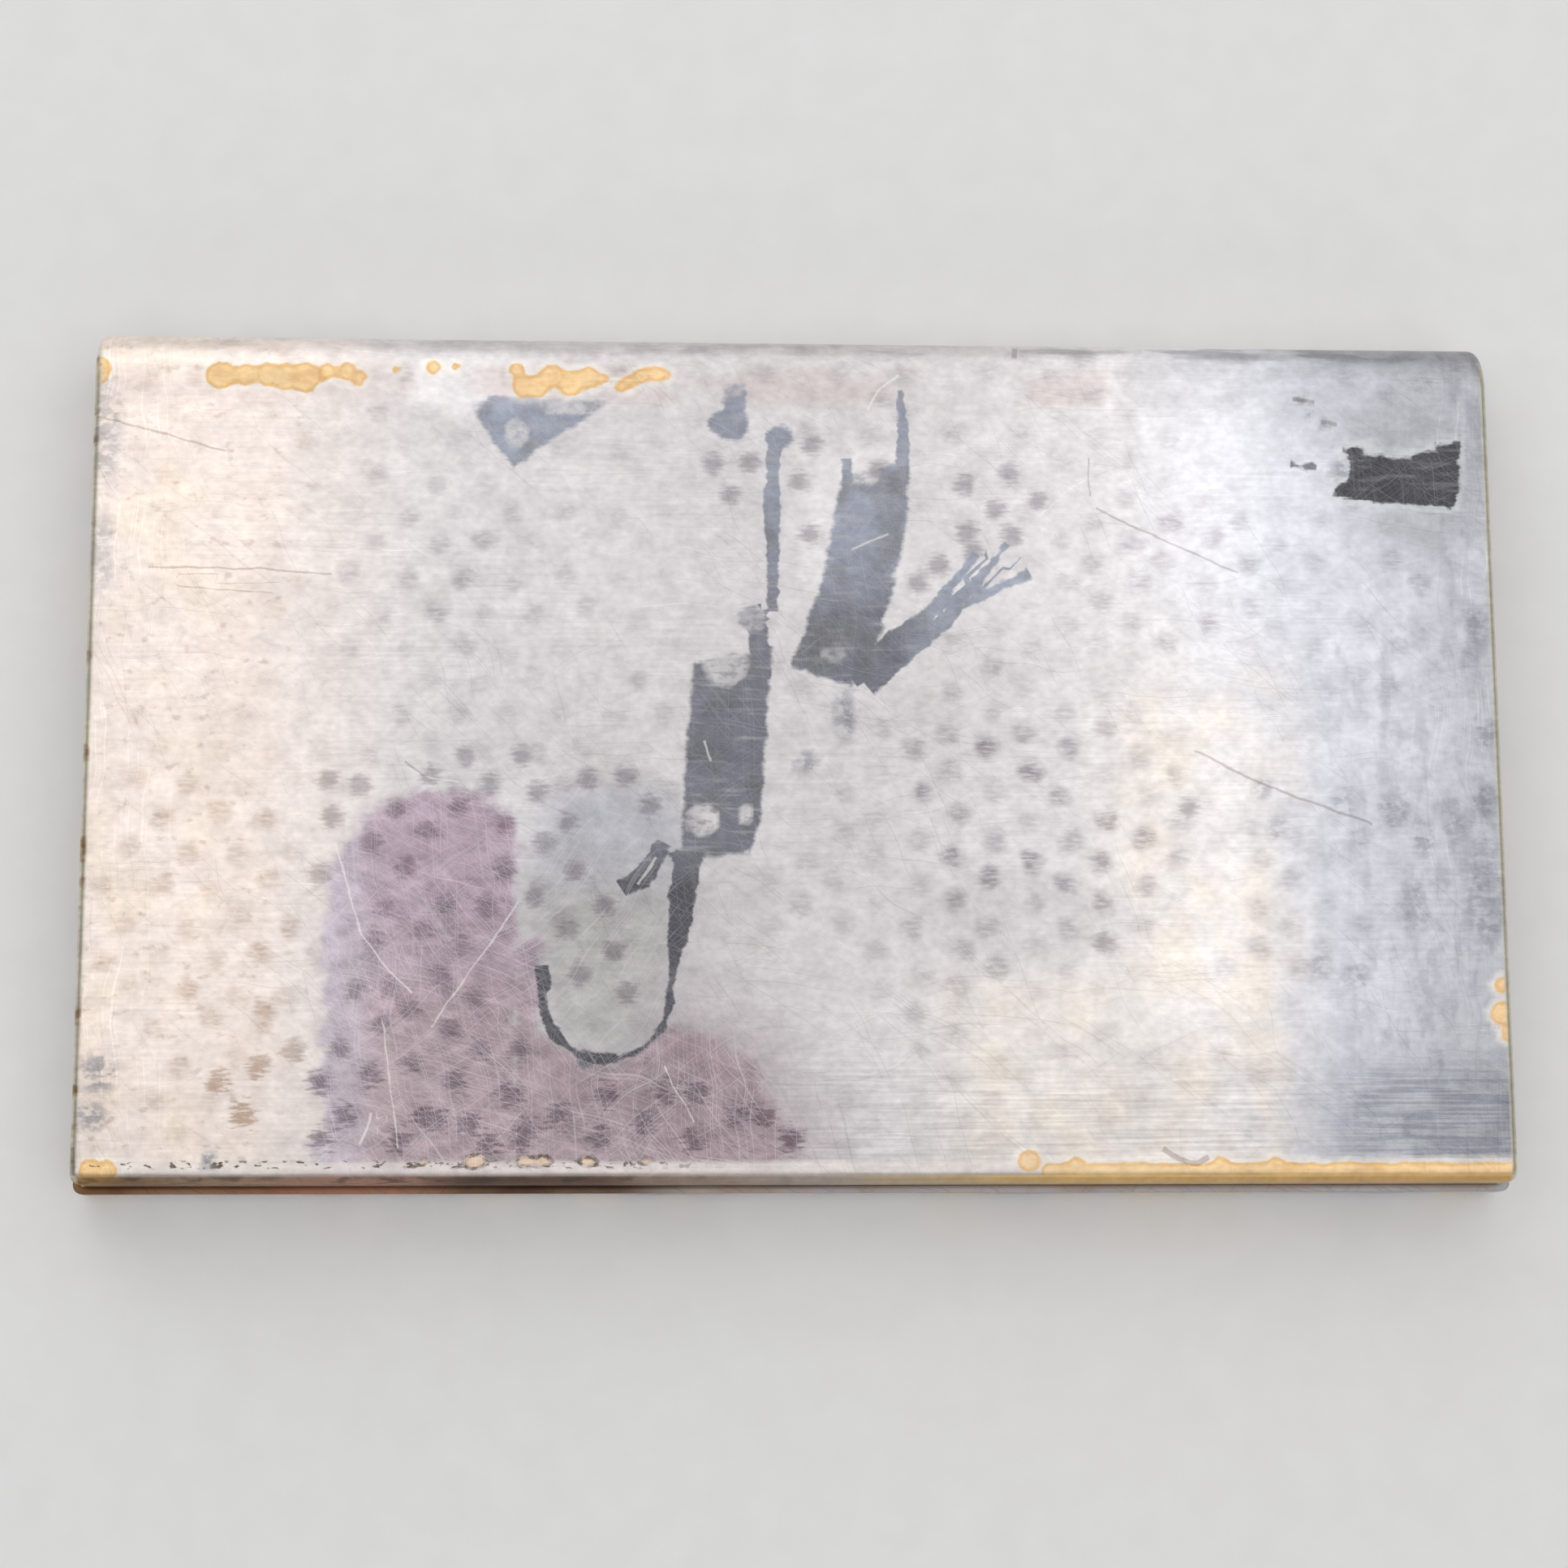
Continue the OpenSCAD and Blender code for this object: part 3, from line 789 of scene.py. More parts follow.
def ramp_of(finish, value, stops):
    """A colour that changes with value. Each stop is a place from 0 to 1 and the colour there."""
    made = finish.tree.nodes.new("ShaderNodeValToRGB")
    made.color_ramp.interpolation = "EASE"
    elements = made.color_ramp.elements
    elements[0].position, elements[0].color = stops[0]
    elements[1].position, elements[1].color = stops[-1]
    for at, colour in stops[1:-1]:
        elements.new(at).color = colour
    finish.tree.links.new(value.socket, made.inputs[0])
    return Wire(finish, made.outputs[0])


# %% [markdown]
# The lid's finish is built up in the order that the marks happened: plating, tarnish, honeycomb, stains,
# wear, and last the scratches that cut through all of them. Painted reflection and shade go on after the
# stains, and the front roll and wall get a painted highlight and painted shade with their wear.

# %% The lid's finish
LEFT_EDGE, RIGHT_EDGE = -48, 48
# x and colour of the front edge, from the left end: painted shade and a painted reflection of a hand, brown
# and darkest at the left
FRONT_TINTS = [
    (-47, srgb(172, 132, 66)), (-44, srgb(124, 90, 52)), (-40, srgb(150, 122, 94)),
    (-27, srgb(168, 124, 106)), (-21.5, srgb(80, 52, 32)), (-13, srgb(98, 68, 52)),
    (-10, srgb(150, 126, 110)), (1, srgb(166, 152, 142)), (7, srgb(190, 168, 134)),
    (16, srgb(212, 176, 114)), (47, srgb(208, 168, 104)),
]
# x and colour of the base's lip under it: painted shadow and a painted reflection of a hand, dark red-brown
# at the left
LIP_TINTS = [
    (-46, srgb(104, 68, 40)), (-40, srgb(132, 94, 72)), (-27, srgb(152, 104, 86)), (-21, srgb(74, 48, 32)),
    (-13, srgb(94, 74, 60)), (-6, srgb(160, 150, 142)), (5, srgb(164, 158, 160)), (47, srgb(160, 158, 162)),
]
# angle, length, width, threshold and seed of each set of scratches
COARSE_SCRATCHES = [
    (0, 18, 0.08, 0.68, 3), (38, 16, 0.07, 0.7, 11), (-27, 18, 0.08, 0.71, 19), (66, 14, 0.07, 0.71, 27),
]
FINE_SCRATCHES = [
    (18, 9, 0.05, 0.62, 35), (52, 11, 0.05, 0.61, 39), (-38, 9, 0.05, 0.63, 43), (84, 8, 0.05, 0.63, 47),
]
BASE_SCRATCHES = [
    (4, 26, 0.12, 0.64, 71), (40, 30, 0.1, 0.66, 73), (-30, 34, 0.12, 0.66, 75), (75, 20, 0.1, 0.68, 77),
]
# width and height of a honeycomb cell at the left end, and elsewhere
TALL_CELL, WIDE_CELL = (3.5, 4.6), (5, 2.9)


def along(finish):
    """0 at the left end of the case and 1 at the right."""
    return finish.x.scaled(1 / (RIGHT_EDGE - LEFT_EDGE), -LEFT_EDGE / (RIGHT_EDGE - LEFT_EDGE))


def stops(rows):
    return [((x - LEFT_EDGE) / (RIGHT_EDGE - LEFT_EDGE), value) for x, value in rows]


def plated(f, cloud):
    """Silver with painted warm reflection at the left and round x 27 under the bright band, streaky low
    down and blue-grey at the lower right.
    """
    x, y = f.x, f.y
    # painted reflection: the left end is tinted warm
    colour = f.mix(SILVER, srgb(222, 210, 202), x.between(-22, -38))
    colour = f.mix(colour, srgb(212, 214, 222), x.between(18, 36) * 0.8)
    ivory = f.clouds((4, 5, 30), 5, 22, 0.42, 0.62)
    # painted reflection: warm light round x 27 and lower down round x 20, and in clouds at the left end
    warm = abs(x - 27).between(9, 3) * y.between(12, -2)
    warm = warm.most(abs(x - 20).between(14, 8) * y.between(-13, -18))
    colour = f.mix(colour, srgb(230, 218, 203), warm * ivory.scaled(0.4, 0.3))
    colour = f.mix(colour, srgb(222, 204, 184), ivory * x.between(-32, -42) * 0.4)
    brown = f.clouds((1.1, 0.8, 30), 5, 26, 0.58, 0.72) * x.between(-28, -36)
    colour = f.mix(colour, srgb(150, 124, 104), brown * 0.35)
    colour = f.shade(colour, cloud.scaled(0.26, 0.87))
    rubbed = (x.between(31, 40) * y.between(14, 6)).most(x.between(42, 44.5))
    smears = f.clouds((1.1, 3, 30), 4, 24, 0.46, 0.66) * rubbed
    colour = f.mix(colour, srgb(174, 176, 184), smears * 0.5)
    low = f.grain((7, 0.22, 30), 3, 23)
    colour = f.shade(colour, 1 + (low - 0.5) * y.between(-19, -23) * x.between(-10, 0) * 0.7)
    right = x.between(30, 40) * y.between(-19.5, -22.5)
    colour = f.mix(colour, srgb(146, 152, 166), low.between(0.42, 0.58) * right * 0.65)
    pink = y.between(23, 24.5) * y.between(26.9, 26.3) * x.between(24, 18) * cloud.between(0.46, 0.6)
    return f.mix(colour, srgb(204, 188, 184), pink * 0.6)


def tarnished(f, colour, mauve, spread, pool):
    """The mauve corner with its faint spread, and the grey and blue pool inside the hook."""
    tone = f.mix(srgb(172, 150, 165), srgb(174, 153, 159), f.y.between(-8, -20))
    tone = f.mix(srgb(182, 172, 184), tone, f.x.between(-32, -26.5))
    tone = f.shade(tone, f.grain((1.5, 0.9, 30), 5, 25).scaled(1.2, 0.41))
    upper = f.y.between(-11, -5) * f.y.between(-1.5, -4)
    blue = f.mix(srgb(166, 163, 162), srgb(166, 169, 180), upper)
    blue = f.shade(blue, f.grain((2.5, 1.8, 30), 5, 27).scaled(0.8, 0.64))
    colour = f.mix(f.mix(colour, tone, spread * 0.36), blue, pool * 0.6)
    return f.mix(colour, tone, mauve * 0.9)


def dotted(f, colour, strength, spots):
    """The placed dots and the honeycomb, brown at the left end and grey elsewhere, all of them streaky."""
    wobble = f.shifted((1.6, 1.6, 4), (1.3, 1, 0), 12)
    left = honeycomb(f, wobble, TALL_CELL, 0.85, 3)
    right = honeycomb(f, f.vector("SUBTRACT", wobble, (0.1, 1.4, 0)), WIDE_CELL, 0.92, 9)
    dots = left + (right - left) * f.x.between(-6, -1)
    torn = f.grain((0.9, 0.22, 4), 4, 7)
    low = f.y.between(-19, -22.5)
    placed = (spots + (torn - 0.5) * (low * 1.6 + 1.3)).between(1.1, 0.3) * (low * 0.22 + 0.75)
    patchy = f.clouds((11, 9, 30), 2, 21, 0.4, 0.6) * 0.45
    loose = dots * strength.most(patchy) * (torn.between(0.34, 0.6) * 0.6 + 0.4)
    tint = f.mix((0.47, 0.44, 0.47, 1), (0.6, 0.5, 0.42, 1), f.x.between(-30, -35))
    return f.mix(colour, f.vector("MULTIPLY", colour, tint), loose.most(placed))


def smudged(f, colour, smudge, copper, ragged):
    """Grey rubbed places, and the coppery spots with a dark outline."""
    speckle = f.clouds((0.7, 0.45, 4), 4, 29, 0.4, 0.58)
    colour = f.mix(colour, srgb(128, 130, 138), smudge * speckle.scaled(0.7, 0.2))
    edge = copper + ragged * 0.5
    colour = f.mix(colour, srgb(222, 196, 170), edge.between(0.1, -0.1) * 0.85)
    return f.mix(colour, GRIME, abs(edge).between(0.26, 0.06) * speckle.scaled(0.7, 0.2))


def stained(f, colour, slate, faded, pale):
    """The slate stains, paler near the spine and along the twig, with rubbed streaks and flaking places."""
    flakes = f.clouds((0.6, 0.42, 30), 4, 36, 0.36, 0.54)
    tone = f.mix(SLATE, srgb(160, 165, 180), pale * 0.95)
    tone = f.mix(tone, srgb(168, 168, 170), f.clouds((3, 0.35, 30), 4, 37, 0.5, 0.72) * 0.65)
    tone = f.mix(tone, srgb(112, 111, 104), f.clouds((2.5, 3.5, 30), 4, 39, 0.44, 0.7) * 0.45)
    tone = f.shade(tone, f.grain((1.6, 1.2, 30), 5, 38).scaled(0.7, 0.65))
    return f.mix(colour, tone, slate * (1 - faded * (flakes * 0.5 + 0.5)) * 0.97)


def sooted(f, colour, edge, fringe):
    colour = f.mix(colour, srgb(226, 227, 226), (edge + fringe).between(0.75, 0.2) * 0.3)
    tone = f.mix(SOOT_TONE, srgb(110, 111, 114), f.clouds((3, 0.4, 30), 3, 40, 0.5, 0.7) * 0.7)
    return f.mix(colour, tone, (edge + fringe * 0.5).between(0.12, -0.1) * 0.98)


def bared(f, colour, edge, bare):
    """Brass with a darker rim, inside a bright line of thinned silver."""
    brass = f.mix(BRASS, BRASS_DEEP, f.clouds((2.2, 0.8, 30), 4, 41, 0.46, 0.72) * 0.4)
    brass = f.mix(brass, srgb(226, 202, 164), f.x.between(34, 14) * f.x.between(10, 14) * 0.6)
    colour = f.mix(colour, srgb(240, 233, 222), edge.between(0.6, 0.1) * 0.5)
    colour = f.mix(colour, brass, bare)
    return f.mix(colour, BRASS_DEEP, abs(edge + 0.1).between(0.2, 0) * 0.5)


def edge_wear_and_painted_light(f, colour, bare):
    """The front roll with a painted highlight and dark specks, the front wall painted brown with painted
    shade, a painted reflection of a hand and dirt, and the cream line at each end.
    """
    x, y = f.x, f.y
    # painted highlight along the front roll
    colour = f.mix(colour, srgb(222, 214, 208), y.between(-26.9, -27.4) * (1 - bare) * 0.8)
    specks = f.clouds((0.6, 0.34, 2), 4, 49, 0.56, 0.62) * abs(y + 27.3).between(0.35, 0.15)
    colour = f.mix(colour, GRIME, specks * x.between(-2, -12) * 0.9)
    # the front wall: painted shade and a painted reflection of a hand, with dark dirt and painted shade
    # left of the middle
    tone = ramp_of(f, along(f), stops(FRONT_TINTS))
    dirt_and_shade = f.clouds((1.8, 2, 0.5), 5, 50, 0.48, 0.66) * x.between(2, -14)
    colour = f.mix(colour, f.mix(tone, srgb(52, 40, 22), dirt_and_shade * 0.7), y.between(-27.85, -28.15) * 0.95)
    half_width = lid_high.x
    grime = f.clouds((3, 1.6, 3), 3, 45, 0.55, 0.7) * x.between(-40, -46)
    end_tone = f.mix(srgb(226, 220, 198), srgb(150, 108, 56), grime)
    upper = f.z.between(lid_high.z - 0.9, lid_high.z - 0.5)
    rim = abs(x).between(half_width - 0.62, half_width - 0.35) * upper
    colour = f.mix(colour, end_tone, rim * 0.8)
    streaks = f.clouds((5, 1.2, 1.5), 4, 48, 0.48, 0.66) * y.between(26.6, 27.8)
    streaks = streaks * x.between(-20, 40).scaled(0.5, 0.15)
    return f.mix(colour, srgb(134, 134, 138), streaks)


def line_mask(f, lines, noise, soft=0.06):
    """1 on the drawn lines. The third number is their width, and its sign is left for the caller."""
    side, reach, width = lines
    edge = abs(side) - abs(width) * 0.5 + noise
    return edge.between(soft, -soft) * reach.between(0.05, -0.05)


def lid_finish():
    f = Finish("lid_silver", metallic=0.82, roughness=0.42)
    slate_edge, soot_edge, mauve_edge = f.attribute("stains")
    bare_edge, faded, pale = f.attribute("wear")
    brightness, dot_strength, pool = f.attribute("tone")
    polish = f.grain((7, 0.2, 30), 4, 4)
    cloud = f.grain((9, 7, 30), 4, 6)
    mottle = f.grain((2, 1.6, 30), 6, 10)
    brushed = f.clouds((12, 7, 30), 2, 5, 0.42, 0.6).most(f.y.between(-20, -23))
    fringe = (f.grain((5, 0.2, 30), 3, 33) - 0.5) * 0.8
    ragged = (f.grain((0.9, 0.7, 4), 4, 2) - 0.5) * 0.9
    wavy = (f.grain((1.6, 1.3, 4), 3, 8) - 0.5) * 1.1

    colour = plated(f, cloud)
    mauve = (mauve_edge + wavy * 2.2 + ragged * 0.6).between(0.5, -0.6)
    spread = (mauve_edge + wavy * 2.5).between(5.5, 0) * f.x.between(-12, -8.5)
    colour = tarnished(f, colour, mauve, spread, (pool + wavy * 0.8).between(0, 1.1))
    dot_distance, smudge, copper = f.attribute("spots")
    colour = dotted(f, colour, dot_strength, dot_distance)
    lines = line_mask(f, f.attribute("stain_lines"), ragged * 0.8, 0.1)
    slate = (slate_edge + fringe * 0.35 + ragged * 0.8).between(0.22, -0.16).most(lines)
    colour = stained(f, colour, slate, (faded + ragged * 0.8).between(0.2, 0.6) * faded, pale)
    colour = f.mix(colour, SOOT_TONE, lines * f.y.between(-6.5, -9.5) * 0.6)
    # brightness paints reflection and shade over the face, with lighter and darker places in its tone
    colour = sooted(f, f.shade(colour, brightness), soot_edge + ragged * 0.9, fringe)
    bare_edge = bare_edge + wavy * 0.5
    bare = bare_edge.between(0.06, -0.06)
    colour = bared(f, colour, bare_edge, bare)
    colour = edge_wear_and_painted_light(f, colour, bare)
    colour = smudged(f, colour, smudge, copper, ragged)

    face = f.y.between(-28.2, -27.8) * abs(f.x).between(lid_high.x - 0.15, lid_high.x - 0.5)
    coarse = scratch_set(f, COARSE_SCRATCHES) * face * 0.4
    upright = hairlines(f, 89, 12, 0.16, 0.6, 52) * abs(f.x).between(38, 45) * face * 0.35
    sweep = hairlines(f, -50, 5, 0.1, 0.62, 57) * pool * 0.2
    fine = scratch_set(f, FINE_SCRATCHES) * face * (mauve * 0.22 + 0.13)
    speck = f.grain((0.6, 0.45, 4), 3, 53)
    fine_tone = mottle.scaled(0.42, 0.79) * speck.scaled(0.4, 0.8)
    colour = f.shade(colour, (1 + (polish - 0.5) * brushed * 0.34) * fine_tone)
    tone = f.shade(colour, f.clouds((6, 6, 6), 1, 55, 0.45, 0.55) * 0.6 + 0.78)
    colour = f.mix(colour, tone, coarse.most(upright))
    colour = f.mix(colour, srgb(226, 220, 226), fine.most(sweep))
    scratch = f.attribute("scratch_lines")
    scratch = (scratch[0] + wavy * 0.35, scratch[1], scratch[2])
    marked = line_mask(f, scratch, ragged * 0.12, 0.05) * 0.5
    light = scratch[2].between(-0.02, 0.02)
    mark_tone = f.mix(f.vector("MULTIPLY", colour, (0.42, 0.34, 0.32)), srgb(240, 236, 230), light)
    colour = f.mix(colour, mark_tone, marked)
    # the front wall left of x 12 is rougher and less metallic, so its painted brown of dirt, painted shade
    # and painted reflection shows
    dull_front_wall = f.y.between(-27.9, -28.2) * f.x.between(12, -2)
    rough = (slate * 0.12 + cloud * 0.16 + polish * 0.12 + 0.26).most(bare * 0.36).most(dull_front_wall * 0.8)
    metallic = dull_front_wall.scaled(-0.72, 0.82)
    return f.wear(colour, rough, metallic, f.bump(polish * 0.4 - coarse * 0.5 + cloud * 0.4, 0.02))


lid_silver = lid_finish()
print("nodes in the lid's finish:", len(lid_silver.node_tree.nodes))

# %% [markdown]
# The other finishes are plainer. The base is the same tarnished silver, the inside is satin silver that
# has seldom been touched, and the fittings are gilt brass and steel.

# %% The other finishes
def base_finish():
    f = Finish("base_silver", metallic=0.82, roughness=0.42)
    cloud = f.grain((14, 10, 20), 4, 60)
    polish = f.grain((16, 0.22, 30), 3, 61)
    colour = f.mix(SILVER, MAUVE, cloud.between(0.5, 0.66) * 0.7)
    colour = f.shade(colour, cloud.scaled(0.3, 0.9))
    dots = honeycomb(f, f.shifted((3, 3, 4), (0.8, 0.8, 0), 62), TALL_CELL, 0.95, 64)
    strength = f.clouds((15, 12, 30), 2, 66, 0.42, 0.6) * 0.7
    colour = f.mix(colour, f.vector("MULTIPLY", colour, (0.62, 0.6, 0.7)), dots * strength)
    x, y = f.x, f.y
    front = y.between(base_low.y + 1.2, base_low.y + 0.2)
    edge = abs(x).between(base_high.x - 1, base_high.x - 0.2).most(front)
    worn = edge * f.clouds((5, 3, 3), 4, 70, 0.53, 0.6)
    colour = f.mix(colour, BRASS, worn * 0.85)
    # the lip under the lid: painted shadow and a painted reflection of a hand, from LIP_TINTS
    lip = ramp_of(f, along(f), stops(LIP_TINTS))
    colour = f.mix(colour, lip, y.between(base_low.y + 0.9, base_low.y + 0.6) * f.z.between(2.4, 3.4) * 0.9)
    scratches = scratch_set(f, BASE_SCRATCHES)
    colour = f.shade(colour, polish.scaled(0.2, 0.9))
    colour = f.mix(colour, f.shade(colour, 0.78), scratches * 0.7)
    rough = cloud * 0.2 + polish * 0.1 + 0.26
    height = polish * 0.5 - scratches * 0.6 + cloud * 0.4
    return f.wear(colour, roughness=rough, normal=f.bump(height, 0.02))


def satin_finish(
    name, tone, worn, clouded=0.35, base_rough=0.34, grain_size=(20, 0.18, 6), tints=None,
):
    """Brushed metal with soft dull clouds and a few hairlines, in one tone or tinted along the case."""
    f = Finish(name, metallic=0.85, roughness=base_rough)
    if tints:
        tone = ramp_of(f, along(f), stops(tints))
    cloud = f.grain((7, 6, 5), 4, 80)
    brushed = f.grain(grain_size, 2, 82)
    colour = f.mix(tone, worn, cloud.between(0.36, 0.74) * clouded)
    colour = f.shade(colour, brushed.scaled(0.3, 0.85))
    scratches = hairlines(f, 30, 18, 0.1, 0.66, 84).most(hairlines(f, -55, 24, 0.1, 0.67, 86))
    colour = f.mix(colour, f.shade(colour, 0.8), scratches * 0.6)
    rough = cloud * 0.16 + brushed * 0.16 + (base_rough - 0.14)
    height = brushed * 0.6 - scratches * 0.6 + cloud * 0.4
    return f.wear(colour, roughness=rough, normal=f.bump(height, 0.01))


base_silver = base_finish()
inner_silver = satin_finish("inner_silver", srgb(208, 204, 197), srgb(192, 180, 160), 0.6)
worn_rim = satin_finish("worn_rim", srgb(212, 206, 194), srgb(176, 144, 104), 0.8, 0.38, (8, 0.6, 0.6))
# the lip's rim: painted shadow and a painted reflection of a hand, tinted by LIP_TINTS
lip_rim = satin_finish("lip_rim", SILVER, srgb(150, 128, 100), 0.5, 0.38, (8, 0.6, 0.6), LIP_TINTS)
knuckle_silver = satin_finish(
    "knuckle_silver", srgb(200, 196, 190), srgb(120, 104, 82), 0.7, grain_size=(0.2, 3, 3),
)
gilt = satin_finish("gilt", srgb(222, 186, 124), srgb(186, 146, 92))
brass_rivet = satin_finish(
    "brass_rivet", srgb(222, 184, 116), srgb(150, 110, 62), grain_size=(0.2, 0.2, 0.2),
)
pin_steel = satin_finish("pin_steel", srgb(176, 178, 182), srgb(120, 116, 112), grain_size=(6, 0.1, 0.1))
blue_steel = satin_finish("blue_steel", srgb(120, 124, 136), srgb(88, 84, 86), grain_size=(6, 0.15, 0.15))

# %% [markdown]
# ## The two shells
# Both shells come from the same line. The base is the lid's twin turned over, a little longer at the ends
# and at the front, so that a fingernail finds its lip.

# %% Make the shells
def register(obj, body, slot, *nodes):
    """Says which body a piece moves with and hides the designed parts that it stands for. The slot, for
    what it is made of, is not used.
    """
    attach(obj, body)
    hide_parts(*nodes)
    return obj


lid_sheet = shell("lid_sheet", lid_high.x, lid_low.y, 1, lid_silver, inner_silver, worn_rim)
store_lid_fields(lid_sheet.data)
base_sheet = shell("base_sheet", base_high.x, base_low.y, -1, base_silver, inner_silver, lip_rim)
for piece, body, node in ((lid_sheet, "lid", "lid_shell"), (base_sheet, "base", "base_shell")):
    register(piece, body, "silver_plate", node)
    print(piece.name, len(piece.data.polygons), "faces")

# %% [markdown]
# ## Fittings that keep their designed shape
# The saddles, the bezel, the brackets and the ledge are right as they were designed, but a real edge is
# never knife sharp. Each is copied, its triangles joined into whole faces, and its edges rounded by the
# width that a few strokes of a fine file would leave.

# %% Soften the designed fittings
FILE_WIDTH = 0.05
SAME_POINT = 0.001


def softened(node, material, body, slot):
    mesh = frame["nodes"][node].data.copy()
    mesh.materials.clear()
    mesh.materials.append(material)
    bm = bmesh.new()
    bm.from_mesh(mesh)
    bmesh.ops.remove_doubles(bm, verts=bm.verts, dist=SAME_POINT * MM)
    bmesh.ops.dissolve_limit(bm, angle_limit=math.radians(2), verts=bm.verts, edges=bm.edges)
    bmesh.ops.recalc_face_normals(bm, faces=bm.faces)
    for face in bm.faces:
        face.material_index = 0
    bm.to_mesh(mesh)
    bm.free()
    obj = add_object(node + "_soft", mesh)
    soften(obj, FILE_WIDTH)
    return register(finish_mesh(obj), body, slot, node)


FITTINGS = [
    ("base_bezel", gilt, "base", "gilt_brass"),
    ("base_hinge_bearer", gilt, "base", "gilt_brass"),
    ("lid_hinge_bearer", gilt, "lid", "gilt_brass"),
    ("catch_ledge", gilt, "lid", "gilt_brass"),
    ("guard_bracket_left", gilt, "base", "gilt_brass"),
    ("guard_bracket_right", gilt, "base", "gilt_brass"),
    ("guard_plate", gilt, "card_guard", "gilt_brass"),
    ("guard_tube_left", gilt, "card_guard", "gilt_brass"),
    ("guard_tube_right", gilt, "card_guard", "gilt_brass"),
    ("catch_spring", blue_steel, "base", "spring_steel"),
]
for row in FITTINGS:
    fitting = softened(*row)
    print(fitting.name, len(fitting.data.polygons), "faces")

# %% [markdown]
# ## Hinge knuckles
# A maker saws one long tube into seven knuckles and solders them on by turns, four to the base and three
# to the lid. Geometry Nodes do the same: one short tube is swept from a small rectangle with filed
# corners, and a line of points says where each copy goes.

# %% A small Geometry Nodes builder
class Recipe:
    """A Geometry Nodes tree with named inputs, filled in before it is first used."""

    def __init__(self, name, inputs):
        self.tree = bpy.data.node_groups.new(name, "GeometryNodeTree")
        self.sockets, self.values = {}, {}
        for label, value in inputs.items():
            kind = "NodeSocketInt" if isinstance(value, int) else "NodeSocketFloat"
            made = self.tree.interface.new_socket(label, in_out="INPUT", socket_type=kind)
            self.sockets[label] = made.identifier
            self.values[label] = value
        self.tree.interface.new_socket("Geometry", in_out="OUTPUT", socket_type="NodeSocketGeometry")
        self.start = self.tree.nodes.new("NodeGroupInput")

    def given(self, label):
        return self.start.outputs[label]

    def node(self, kind, settings=None, values=None):
        made = self.tree.nodes.new(kind if "Node" in kind else "GeometryNode" + kind)
        for key, value in (settings or {}).items():
            setattr(made, key, value)
        for key, value in (values or {}).items():
            for item in value if isinstance(value, list) else [value]:
                if isinstance(item, bpy.types.NodeSocket):
                    self.tree.links.new(item, made.inputs[key])
                else:
                    made.inputs[key].default_value = item
        return made.outputs[0]

    def sum(self, operation, a, b):
        return self.node("ShaderNodeMath", {"operation": operation}, {0: a, 1: b})

    def make(self, name, geometry, material):
        """Ends the tree, runs it and gives a plain mesh object."""
        real = self.node("RealizeInstances", {}, {0: geometry})
        painted = self.node("SetMaterial", {}, {0: real, "Material": material})
        self.tree.links.new(painted, self.tree.nodes.new("NodeGroupOutput").inputs[0])
        obj = add_object(name, bpy.data.meshes.new(name))
        run = obj.modifiers.new(name, "NODES")
        run.node_group = self.tree
        for label, value in self.values.items():
            run[self.sockets[label]] = value
        finish_mesh(obj, 45)
        return obj


KNUCKLES = 7
KNUCKLE_GAP = 0.1
RUNNING = 0.05
FILED_EDGE = 0.08
ALONG_X = (0, math.pi / 2, 0)
barrel_high = edges_of("base_knuckle_1")[1]
barrel_r = barrel_high.y - hinge_y
pin_high = edges_of("hinge_pin")[1]
pin_r = pin_high.z - part_z
hinge_half = pin_high.x
knuckle_l = (2 * hinge_half - (KNUCKLES - 1) * KNUCKLE_GAP) / KNUCKLES
pitch = knuckle_l + KNUCKLE_GAP
print(f"knuckles {knuckle_l:.2f} mm long, {barrel_r:.2f} mm in radius")


def knuckles(name, first, count, body, stands_for):
    recipe = Recipe(name, {
        "Outer radius": barrel_r * MM,
        "Bore radius": (pin_r + RUNNING) * MM,
        "Length": knuckle_l * MM,
        "Filed edge": FILED_EDGE * MM,
        "Count": count,
        "Step": 2 * pitch * MM,
    })
    outer, bore = recipe.given("Outer radius"), recipe.given("Bore radius")
    wall = recipe.sum("SUBTRACT", outer, bore)
    middle = recipe.sum("MULTIPLY", recipe.sum("ADD", outer, bore), 0.5)
    path = recipe.node("CurvePrimitiveCircle", {}, {"Resolution": 48, "Radius": middle})
    section = recipe.node(
        "CurvePrimitiveQuadrilateral", {}, {"Width": wall, "Height": recipe.given("Length")}
    )
    rounding = {"Curve": section, "Radius": recipe.given("Filed edge"), "Count": 3}
    filed = recipe.node("FilletCurve", {"mode": "POLY"}, rounding)
    tube = recipe.node("CurveToMesh", {}, {"Curve": path, "Profile Curve": filed})
    offset = recipe.node("ShaderNodeCombineXYZ", {}, {"X": recipe.given("Step")})
    start = metres(-hinge_half + knuckle_l / 2 + first * pitch, hinge_y, part_z)
    line = {"Count": recipe.given("Count"), "Start Location": start, "Offset": offset}
    row = recipe.node("MeshLine", {"mode": "OFFSET"}, line)
    placed = recipe.node("InstanceOnPoints", {}, {"Points": row, "Instance": tube, "Rotation": ALONG_X})
    return register(recipe.make(name, placed, knuckle_silver), body, "silver_knuckles", *stands_for)


base_knuckles = knuckles("base_knuckles", 0, 4, "base", [f"base_knuckle_{i}" for i in (1, 2, 3, 4)])
knuckles("lid_knuckles", 1, 3, "lid", [f"lid_knuckle_{i}" for i in (1, 2, 3)])
print("barrel from", [round(v / MM, 2) for v in base_knuckles.bound_box[0]], "mm")

# %% [markdown]
# ## Springs
# Two springs are wound on the guard's pin. One leg of each lies on the floor behind, the other presses on
# the plate in front. A spring is one wire, so it is a spiral and two straight legs swept with one small
# circle.

